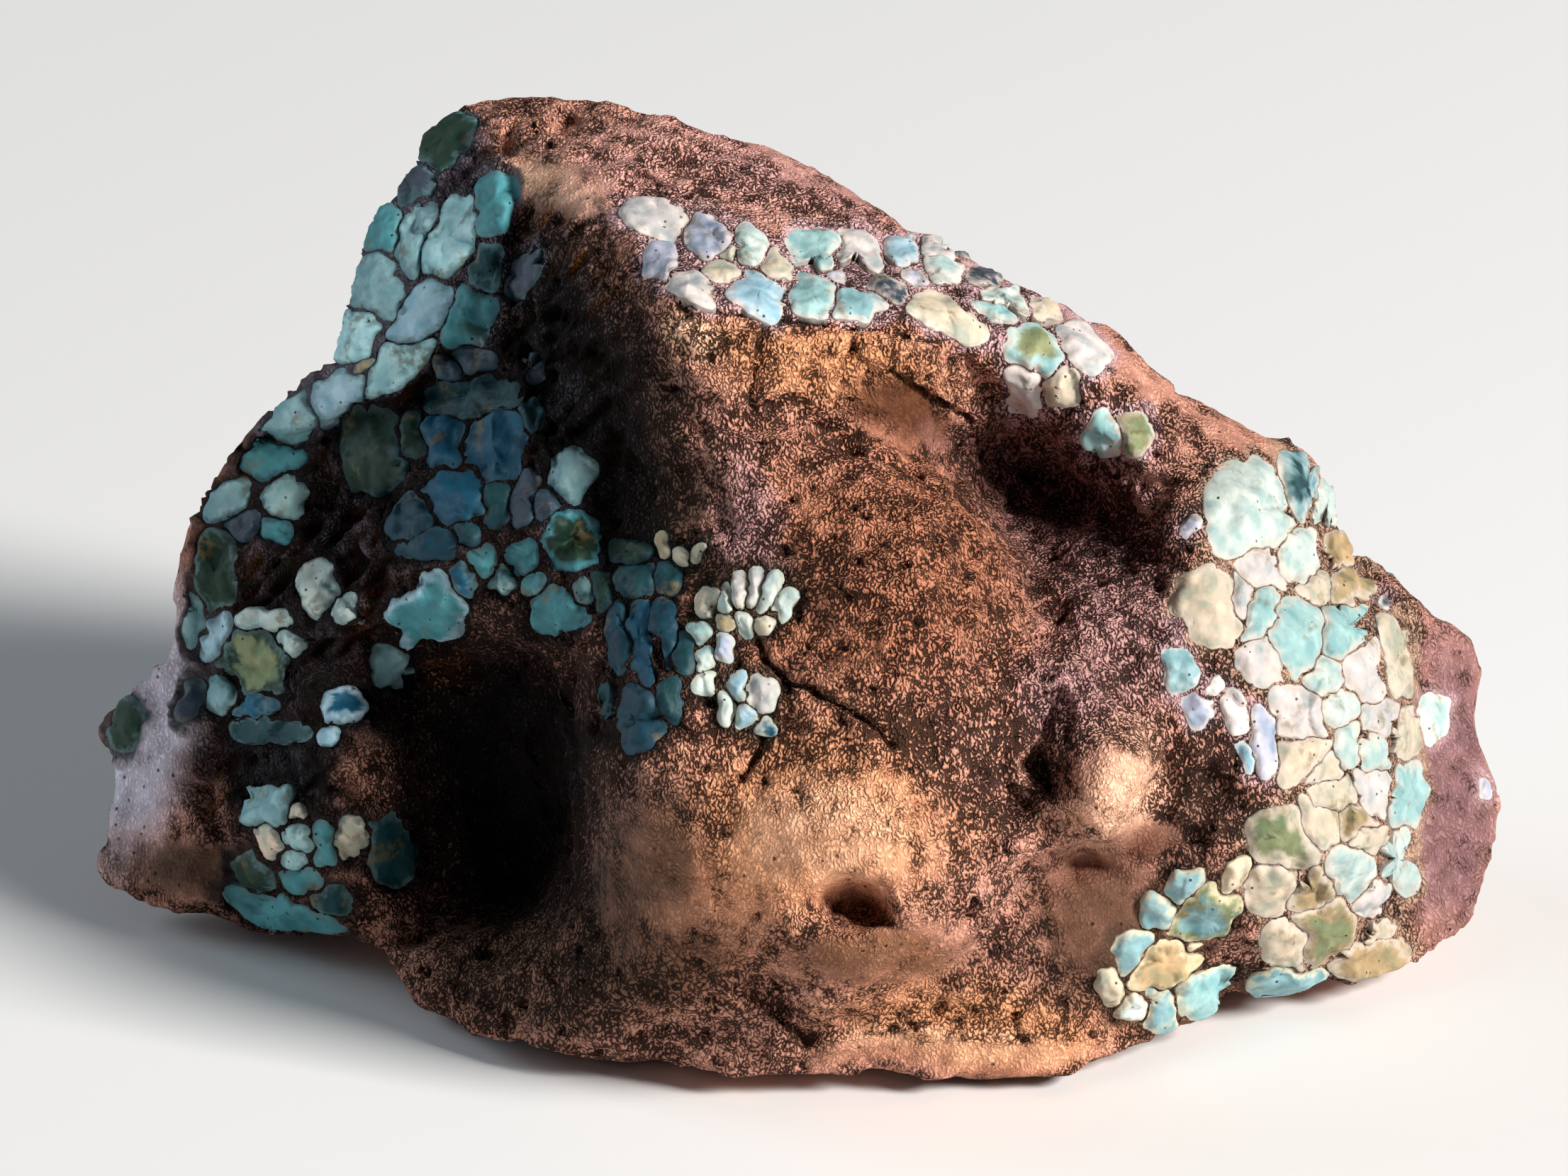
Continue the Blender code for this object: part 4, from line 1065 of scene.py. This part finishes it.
def noduleShell(nodule, rivals, surface, rng):
    # a low dome over the nodule's own outline, set into the rock and closed underneath
    made = noduleSettings
    spacing = made["spacing" if nodule.drawn else "hiddenSpacing"]
    count = int(np.clip(2 * math.pi * nodule.size / spacing, made["fewest"], made["most"]))
    angles = np.arange(count) * 2 * math.pi / count
    reach = noduleReach(nodule, rivals, surface, angles)
    if reach.max() < made["leastReach"] or np.median(reach) < made["leastUsualReach"]:
        return None
    reach = np.maximum(reach, made["narrowest"])
    faceSlopes = rng.normal(size=(2, made["faces"])) * made["facet"]
    faceStarts = rng.uniform(0, made["faceStart"], made["faces"])
    lift = nodule.bed["lift"] * rng.uniform(*made["liftRange"]) * min(1.0, 0.55 + 0.45 * nodule.size)
    heartHit = nodule.rockAt(surface, np.zeros(3))
    if heartHit is None:
        return None
    meanNormal = heartHit[1]
    places, normals, spots = [], [], []
    for share in (0.0,) + made["rings"]:
        for angle, far in zip(angles, reach):
            x, y = math.cos(angle) * far * share, math.sin(angle) * far * share
            hit = nodule.rockAt(surface, nodule.axes[0] * x + nodule.axes[1] * y)
            if hit is None:
                inner = -count if len(places) > count else 0
                hit = places[inner], normals[inner]
            spot, normal = hit
            normal = normal * 0.6 + meanNormal * 0.4
            normal /= np.linalg.norm(normal)
            places.append(spot)
            normals.append(normal)
            spots.append((x, y))
            if share == 0:
                break
    places, normals = np.array(places), np.array(normals)
    inside = insideNodule(nodule, rivals, places)
    inside[-count:] = np.minimum(inside[-count:], 0)
    flat = ramp(inside, -0.02, made["bevel"])
    wave = layeredNoise(places, made["rippleSpan"], 60.0) * made["ripple"]
    wave += softNoise(places / made["dentSpan"]) * made["dent"]
    broken = (np.array(spots) @ faceSlopes + faceStarts).min(axis=1) * nodule.bed.get("faceting", 1.0)
    lifts = lift * (made["edgeShare"] + (1 - made["edgeShare"]) * flat)
    lifts += np.maximum(broken, made["deepestFace"]) * (0.4 + 0.6 * flat)
    lifts += wave * (0.2 + 0.8 * flat)
    places += normals * lifts[:, None]
    rim = places[-count:]
    root = rim - normals[-count:] * (made["root"] + lift)
    bottom = root.mean(axis=0) - meanNormal * 0.05
    points = np.concatenate([places, root, bottom[None]])
    shares = np.concatenate([1 - np.clip(inside / made["rimWidth"], 0, 1), np.full(count, 1.0), [1.0]])

    def corner(level, spoke):
        return 1 + level * count + spoke % count

    faces = []
    last = len(made["rings"])
    for spoke in range(count):
        faces.append((0, corner(0, spoke), corner(0, spoke + 1)))
        for level in range(last):
            inner, outer = corner(level, spoke), corner(level + 1, spoke)
            faces.append((inner, outer, corner(level + 1, spoke + 1), corner(level, spoke + 1)))
        faces.append((corner(last, spoke), len(points) - 1, corner(last, spoke + 1)))
    core = ramp(0.45 - shares + layeredNoise(points, 0.8, 90.0) * 0.3, -0.15, 0.15)[:, None]
    return points, faces, shares, nodule.tint * (1 - core) + nodule.core * core


def makeNodules(surface, nodules, material):
    rng = np.random.default_rng(5)
    middles = np.array([nodule.centre for nodule in nodules])
    beds = {}
    for nodule in nodules:
        away = np.linalg.norm(middles - nodule.centre, axis=1)
        rivals = [
            other for other, far in zip(nodules, away)
            if other is not nodule and far < nodule.reach + other.reach + 2.0
        ]
        shell = noduleShell(nodule, rivals, surface, rng)
        if shell is not None:
            beds.setdefault(nodule.bed["name"], []).append((nodule, shell, rng.random()))
    for name, shells in beds.items():
        points, faces, shares, tints, rims, lots = [], [], [], [], [], []
        start = 0
        for nodule, (somePoints, someFaces, someShares, someTints), lot in shells:
            points.append(somePoints)
            faces += [tuple(start + corner for corner in face) for face in someFaces]
            shares.append(someShares)
            tints.append(someTints)
            rims.append(np.tile(np.array(nodule.bed["rim"]), (len(somePoints), 1)))
            lots.append(np.full(len(somePoints), lot))
            start += len(somePoints)
        world = worldPoints(np.concatenate(points))
        world[:, 2] = np.maximum(world[:, 2], 0.0)
        mesh = bpy.data.meshes.new(name + "Turquoise")
        mesh.from_pydata(world.tolist(), [], faces)
        mesh.update()
        storeNumber(mesh, "edgeShare", np.concatenate(shares))
        storeNumber(mesh, "noduleLot", np.concatenate(lots))
        storeTint(mesh, "noduleTint", np.concatenate(tints))
        storeTint(mesh, "rimTint", np.concatenate(rims))
        mesh.shade_smooth()
        mesh.materials.append(material)
        piece = bpy.data.objects.new(name + "Turquoise", mesh)
        bpy.context.scene.collection.objects.link(piece)
        placePiece(piece)
        mesh.calc_loop_triangles()
        print(piece.name, len(shells), "nodules,", len(mesh.loop_triangles), "triangles")


def placePiece(piece):
    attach(piece, "root")
    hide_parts("nugget")


rockFinish = {
    "fineScale": 3.9, "midScale": 0.95, "wideScale": 0.28, "drawnOut": (1.0, 1.0, 0.74),
    "crumb": 1.3, "usual": 0.085, "mid": 0.62, "wide": 0.26,
    # contrast, bright, most, greener and bluer make each crumb paler where lighter and warmer where darker,
    # partly its own grain and partly painted light and shade; the crease and pit settings and the near-black
    # tint paint shade in the creases and pits
    "contrast": 22.0, "smoothContrast": 4.0, "bright": 1.12, "most": 1.7, "greener": 1.08, "bluer": 1.14,
    "crease": 0.012, "smoothCrease": -0.07, "creaseMid": 0.20, "creaseWide": 0.12, "creaseCavityShade": 0.12,
    "creaseSoft": (0.060, -0.01), "creaseDark": 0.86, "paintedShade": rgb(28, 19, 15),
    "pitScale": 1.3, "pitSize": (0.16, 0.10), "pitWhere": (-0.04, 0.06), "pitDark": 0.8, "pitDepth": -0.06,
    "rough": 0.97, "smoothRough": 0.70, "shine": 0.12, "relief": 0.95, "smoothRelief": 0.20,
}

# The four numbers over a noise are where it starts to tell and is full, and how much it tells there.
turquoiseFinish = {
    "cloudScale": 0.9, "mottleScale": 2.6, "stainScale": 0.55, "speckScale": 1.6,
    "paler": (1.5, 1.4, 1.35, 1.0), "palerOver": (0.50, 0.68, 0.0, 0.6),
    "deeper": (0.60, 0.78, 0.81, 1.0), "deeperOver": (0.50, 0.33, 0.0, 0.75), "someDeeper": 0.30,
    "rimOver": (0.55, 1.0, 0.0, 0.75), "rimMottle": 0.9, "rimCloud": 0.6,
    "stain": rgb(120, 104, 66), "stainOver": (0.58, 0.68, 0.0, 0.6), "stainMottle": (0.36, 0.6),
    "speckSize": (0.15, 0.08), "speckCloud": (0.47, 0.55), "speckDark": 0.9, "speckDepth": -0.05,
    "seam": rgb(30, 26, 26), "seamOver": (0.93, 1.0, 0.0, 0.5),
    "rough": 0.46, "roughMottle": 0.25, "shine": 0.26, "relief": 0.12, "bump": 0.8,
}


class NodeMaker:
    # short words for building a material
    def __init__(self, material):
        material.use_nodes = True
        self.tree = material.node_tree
        self.shader = self.tree.nodes["Principled BSDF"]
        scaled = self.add("ShaderNodeVectorMath", operation="SCALE")
        self.put(scaled.inputs[0], self.add("ShaderNodeTexCoord").outputs["Object"])
        scaled.inputs["Scale"].default_value = 1000
        self.place = scaled.outputs[0]  # millimetres

    def add(self, kind, **settings):
        made = self.tree.nodes.new(kind)
        for name, value in settings.items():
            setattr(made, name, value)
        return made

    def put(self, socket, value):
        if isinstance(value, bpy.types.NodeSocket):
            self.tree.links.new(value, socket)
        else:
            socket.default_value = value

    def attribute(self, name, tint=False):
        made = self.add("ShaderNodeAttribute", attribute_name=name)
        return made.outputs["Color" if tint else "Fac"]

    def math(self, work, first, second=0.0, third=0.0):
        made = self.add("ShaderNodeMath", operation=work)
        for socket, value in zip(made.inputs, (first, second, third)):
            self.put(socket, value)
        return made.outputs[0]

    def sum(self, *values):
        total = values[0]
        for value in values[1:]:
            total = self.math("ADD", total, value)
        return total

    def times(self, first, second):
        return self.math("MULTIPLY", first, second)

    def fromMiddle(self, value):
        return self.math("SUBTRACT", value, 0.5)

    def range(self, value, low, high, newLow=0.0, newHigh=1.0):
        made = self.add("ShaderNodeMapRange", interpolation_type="SMOOTHSTEP")
        sockets = ("Value", "From Min", "From Max", "To Min", "To Max")
        for name, given in zip(sockets, (value, low, high, newLow, newHigh)):
            self.put(made.inputs[name], given)
        return made.outputs[0]

    def mix(self, share, first, second, blend="MIX"):
        made = self.add("ShaderNodeMix", data_type="RGBA", blend_type=blend, clamp_factor=True)
        self.put(made.inputs[0], share)
        self.put(made.inputs[6], first)
        self.put(made.inputs[7], second)
        return made.outputs[2]

    def noise(self, scale, detail=2.0, distortion=0.0, place=None):
        made = self.add("ShaderNodeTexNoise")
        sockets = ("Vector", "Scale", "Detail", "Distortion")
        for name, given in zip(sockets, (place or self.place, scale, detail, distortion)):
            self.put(made.inputs[name], given)
        return made.outputs[0]

    def cells(self, scale, feature="F1", place=None):
        made = self.add("ShaderNodeTexVoronoi", feature=feature)
        self.put(made.inputs["Vector"], place or self.place)
        self.put(made.inputs["Scale"], scale)
        return made.outputs["Distance"]

    def finish(self, name, value):
        self.put(self.shader.inputs[name], value)

    def bump(self, height, strength=1.0):
        made = self.add("ShaderNodeBump")
        made.inputs["Strength"].default_value = strength
        made.inputs["Distance"].default_value = 0.001
        self.put(made.inputs["Height"], height)
        self.finish("Normal", made.outputs[0])


def makeRockMaterial():
    material = bpy.data.materials.new("brown host rock")
    make = NodeMaker(material)
    rock = rockFinish
    tint = make.attribute("rockTint", True)
    smooth = make.attribute("smoothRock")
    cavityShade = make.attribute("rockCavityShade")

    # crumbs a third of a millimetre across, lighter and darker partly by their own grain and partly as
    # painted light and shade, with dark creases winding between them and dark pits, both painted shade
    drawn = make.add("ShaderNodeVectorMath", operation="MULTIPLY")
    make.put(drawn.inputs[0], make.place)
    drawn.inputs[1].default_value = rock["drawnOut"]
    fine = make.math("ABSOLUTE", make.fromMiddle(make.noise(rock["fineScale"], 1.6, place=drawn.outputs[0])))
    mid = make.fromMiddle(make.noise(rock["midScale"], 1.0))
    wide = make.fromMiddle(make.noise(rock["wideScale"], 1.0))
    body = make.sum(make.times(fine, rock["crumb"]), -rock["usual"] * rock["crumb"])
    body = make.sum(body, make.times(mid, rock["mid"]), make.times(wide, rock["wide"]))
    contrast = make.range(smooth, 0.0, 1.0, rock["contrast"], rock["smoothContrast"])
    shade = make.times(make.math("POWER", contrast, body), rock["bright"])
    shade = make.math("MINIMUM", shade, rock["most"])
    warm = make.add("ShaderNodeCombineColor")
    make.put(warm.inputs[0], shade)
    make.put(warm.inputs[1], make.math("POWER", shade, rock["greener"]))
    make.put(warm.inputs[2], make.math("POWER", shade, rock["bluer"]))
    stone = make.mix(1.0, tint, warm.outputs[0], "MULTIPLY")

    # painted shade: the creases widen where the rock's cavity shade is, and they and the pits go near-black
    reach = make.range(smooth, 0.0, 1.0, rock["crease"], rock["smoothCrease"])
    reach = make.sum(reach, make.times(mid, -rock["creaseMid"]), make.times(wide, -rock["creaseWide"]))
    reach = make.sum(reach, make.times(cavityShade, rock["creaseCavityShade"]))
    crease = make.range(make.math("SUBTRACT", fine, reach), *rock["creaseSoft"], 0.0, rock["creaseDark"])
    pit = make.range(make.cells(rock["pitScale"]), *rock["pitSize"])
    pit = make.times(pit, make.range(wide, *rock["pitWhere"]))
    dark = make.math("MAXIMUM", crease, make.times(pit, rock["pitDark"]))
    make.finish("Base Color", make.mix(dark, stone, rock["paintedShade"]))
    make.finish("Roughness", make.range(smooth, 0.0, 1.0, rock["rough"], rock["smoothRough"]))
    make.finish("Specular IOR Level", rock["shine"])
    depth = make.range(smooth, 0.0, 1.0, rock["relief"], rock["smoothRelief"])
    relief = make.times(make.sum(fine, make.times(mid, 0.5)), depth)
    make.bump(make.sum(relief, make.times(pit, rock["pitDepth"])))
    return material


def makeTurquoiseMaterial():
    material = bpy.data.materials.new("weathered turquoise")
    make = NodeMaker(material)
    stone = turquoiseFinish
    core = make.attribute("noduleTint", True)
    rimTint = make.attribute("rimTint", True)
    share = make.attribute("edgeShare")
    lot = make.attribute("noduleLot")
    cloud = make.noise(stone["cloudScale"], 2.0)
    mottle = make.noise(stone["mottleScale"], 2.0)
    pale = make.mix(1.0, core, stone["paler"], "MULTIPLY")
    lighter = make.mix(make.range(cloud, *stone["palerOver"]), core, pale)
    deep = make.mix(1.0, core, stone["deeper"], "MULTIPLY")
    uneven = make.mix(make.range(cloud, *stone["deeperOver"]), lighter, deep)
    deeper = make.mix(1.0, uneven, stone["deeper"], "MULTIPLY")
    varied = make.mix(make.range(lot, 0.0, 1.0, 0.0, stone["someDeeper"]), uneven, deeper)
    edge = make.sum(share, make.times(make.fromMiddle(mottle), stone["rimMottle"]))
    edge = make.sum(edge, make.times(make.fromMiddle(cloud), stone["rimCloud"]))
    rimmed = make.mix(make.range(edge, *stone["rimOver"]), varied, rimTint)

    stain = make.range(make.noise(stone["stainScale"], 3.0), *stone["stainOver"])
    stain = make.times(stain, make.range(mottle, *stone["stainMottle"]))
    stained = make.mix(stain, rimmed, stone["stain"])
    speck = make.range(make.cells(stone["speckScale"]), *stone["speckSize"])
    speck = make.times(speck, make.range(cloud, *stone["speckCloud"]))
    dark = make.math("MAXIMUM", make.times(speck, stone["speckDark"]), make.range(share, *stone["seamOver"]))
    make.finish("Base Color", make.mix(dark, stained, stone["seam"]))
    make.finish("Roughness", make.sum(stone["rough"], make.times(mottle, stone["roughMottle"])))
    make.finish("Specular IOR Level", stone["shine"])
    height = make.sum(make.times(cloud, stone["relief"]), make.times(mottle, stone["relief"] * 0.5))
    make.bump(make.sum(height, make.times(speck, stone["speckDepth"])), stone["bump"])
    return material


def makeNugget():
    skin = denseSkin()
    print("even rock skin:", len(skin.data.vertices), "points")
    surface = Surface(skin.data)
    carveForms(surface)
    surface.plant()
    print("forms carved")
    nodules = drawnNodules(surface)
    nodules += scatteredNodules(surface, nodules)
    print("nodules placed:", len(nodules))
    makeNodules(surface, nodules, makeTurquoiseMaterial())
    print("nodules made")
    roughenRock(surface, nodules)
    print("rock roughened")
    thinOut(skin, surface.edgeOn)
    skin.data.materials.clear()
    skin.data.materials.append(makeRockMaterial())
    placePiece(skin)


makeCamera()
makeFloor()
makeLights()
print("camera, floor and lights made")
makeNugget()
print("nugget made")
